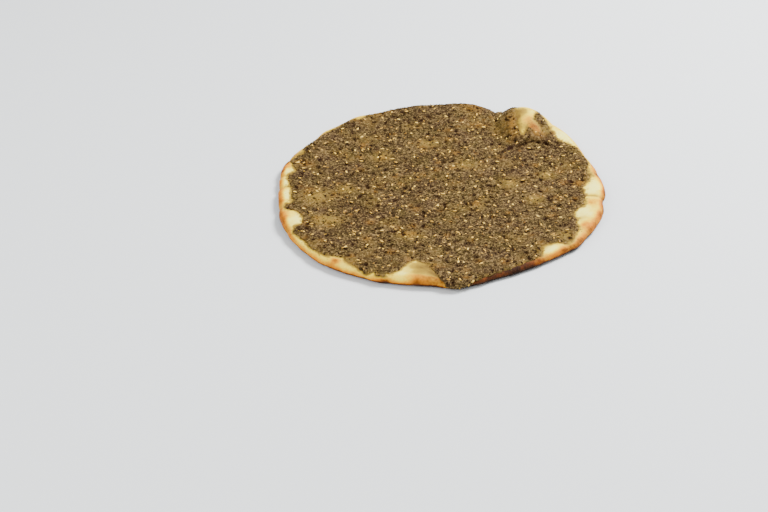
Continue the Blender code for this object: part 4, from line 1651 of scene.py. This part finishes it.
@dataclass(frozen=True)
class Studio:
    """A plain pale floor, soft light and a camera at the usual three-quarter height."""

    aim: Triple = (-44.43 * MM, -86.86 * MM, 0.0)
    distance: float = 1.104
    pitch: float = math.radians(34)
    roll: float = math.radians(-0.39)
    lens: float = 71.11
    sensor: float = 36.0
    floor_size: float = 8.0
    floor_gap: float = 0.1 * MM
    floor_colour: Colour = (226, 230, 232)
    floor_roughness: float = 0.7
    lights: tuple[tuple[str, Triple, float, float], ...] = (
        ("key light", (0.9, 0.5, 1.2), 0.55, 66), ("fill light", (-1.0, -0.8, 0.9), 1.2, 20),
    )
    world_strength: float = 0.75

    def build_floor(self) -> None:
        """One flat plate just under the bread."""
        half = self.floor_size / 2
        corners = [(x * half, y * half, -self.floor_gap) for x, y in ((-1, -1), (1, -1), (1, 1), (-1, 1))]
        mesh = bpy.data.meshes.new("floor")
        mesh.from_pydata(corners, [], [(0, 1, 2, 3)])
        floor = bpy.data.objects.new("floor", mesh)
        bpy.context.scene.collection.objects.link(floor)
        material, wire, shader = new_material("pale floor")
        wire.fill(shader, {"Base Color": linear(self.floor_colour), "Roughness": self.floor_roughness})
        mesh.materials.append(material)
        floor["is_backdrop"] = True

    def build_camera(self) -> None:
        """The camera, aimed at a point of the floor in front of the bread."""
        data = bpy.data.cameras.new("camera")
        data.sensor_width = self.sensor
        data.lens = self.lens
        camera = bpy.data.objects.new("camera", data)
        bpy.context.scene.collection.objects.link(camera)
        back = Vector((0, -math.cos(self.pitch), math.sin(self.pitch)))
        turned = Euler((math.pi / 2 - self.pitch, 0, 0)).to_matrix().to_4x4()
        place = Matrix.Translation(Vector(self.aim) + self.distance * back)
        camera.matrix_world = place @ turned @ Matrix.Rotation(self.roll, 4, "Z")
        bpy.context.scene.camera = camera

    def build_light(self, name: str, place: Triple, size: float, power: float) -> None:
        """A square soft light that faces the bread.

        Args:
            name: Its name.
            place: Where it hangs.
            size: Its side.
            power: In watts.
        """
        data = bpy.data.lights.new(name, "AREA")
        data.size = size
        data.energy = power
        light = bpy.data.objects.new(name, data)
        light.location = place
        light.rotation_euler = (-Vector(place)).to_track_quat("-Z", "Y").to_euler()
        bpy.context.scene.collection.objects.link(light)

    def build(self) -> None:
        """The floor, the camera, the lights and an even pale sky."""
        self.build_floor()
        self.build_camera()
        for light in self.lights:
            self.build_light(*light)
        world = bpy.data.worlds.new("pale sky")
        world.use_nodes = True
        sky = world.node_tree.nodes["Background"]
        Wiring(world.node_tree).fill(sky, {"Color": (1, 1, 1, 1), "Strength": self.world_strength})
        bpy.context.scene.world = world


def main() -> None:
    """Builds and dresses the bread, and reports each piece."""
    logging.basicConfig(level=logging.INFO, format="%(message)s")
    shape = BreadShape()
    speckle = speckle_group()
    edge = ToppingEdge(shape)
    paste = Paste(shape, edge)
    pieces = (
        (Dough(shape, edge).build(DoughFinish()), "flatbread", "baked_dough"),
        (paste.build(PasteFinish(), speckle), "zaatar_topping", "zaatar_topping"),
        (Crumbs(paste).build(CrumbFinish(), speckle), "zaatar_topping", "zaatar_topping"),
        (Seeds(shape, paste).build(SeedFinish()), "zaatar_topping", "zaatar_topping"),
    )
    for piece, node, slot in pieces:
        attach(piece, "root")
        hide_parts(node)
        mesh = piece.data
        mesh.calc_loop_triangles()
        LOG.info("%s: %d points, %d triangles", piece.name, len(mesh.vertices), len(mesh.loop_triangles))
    Studio().build()


if __name__ == "__main__":
    main()
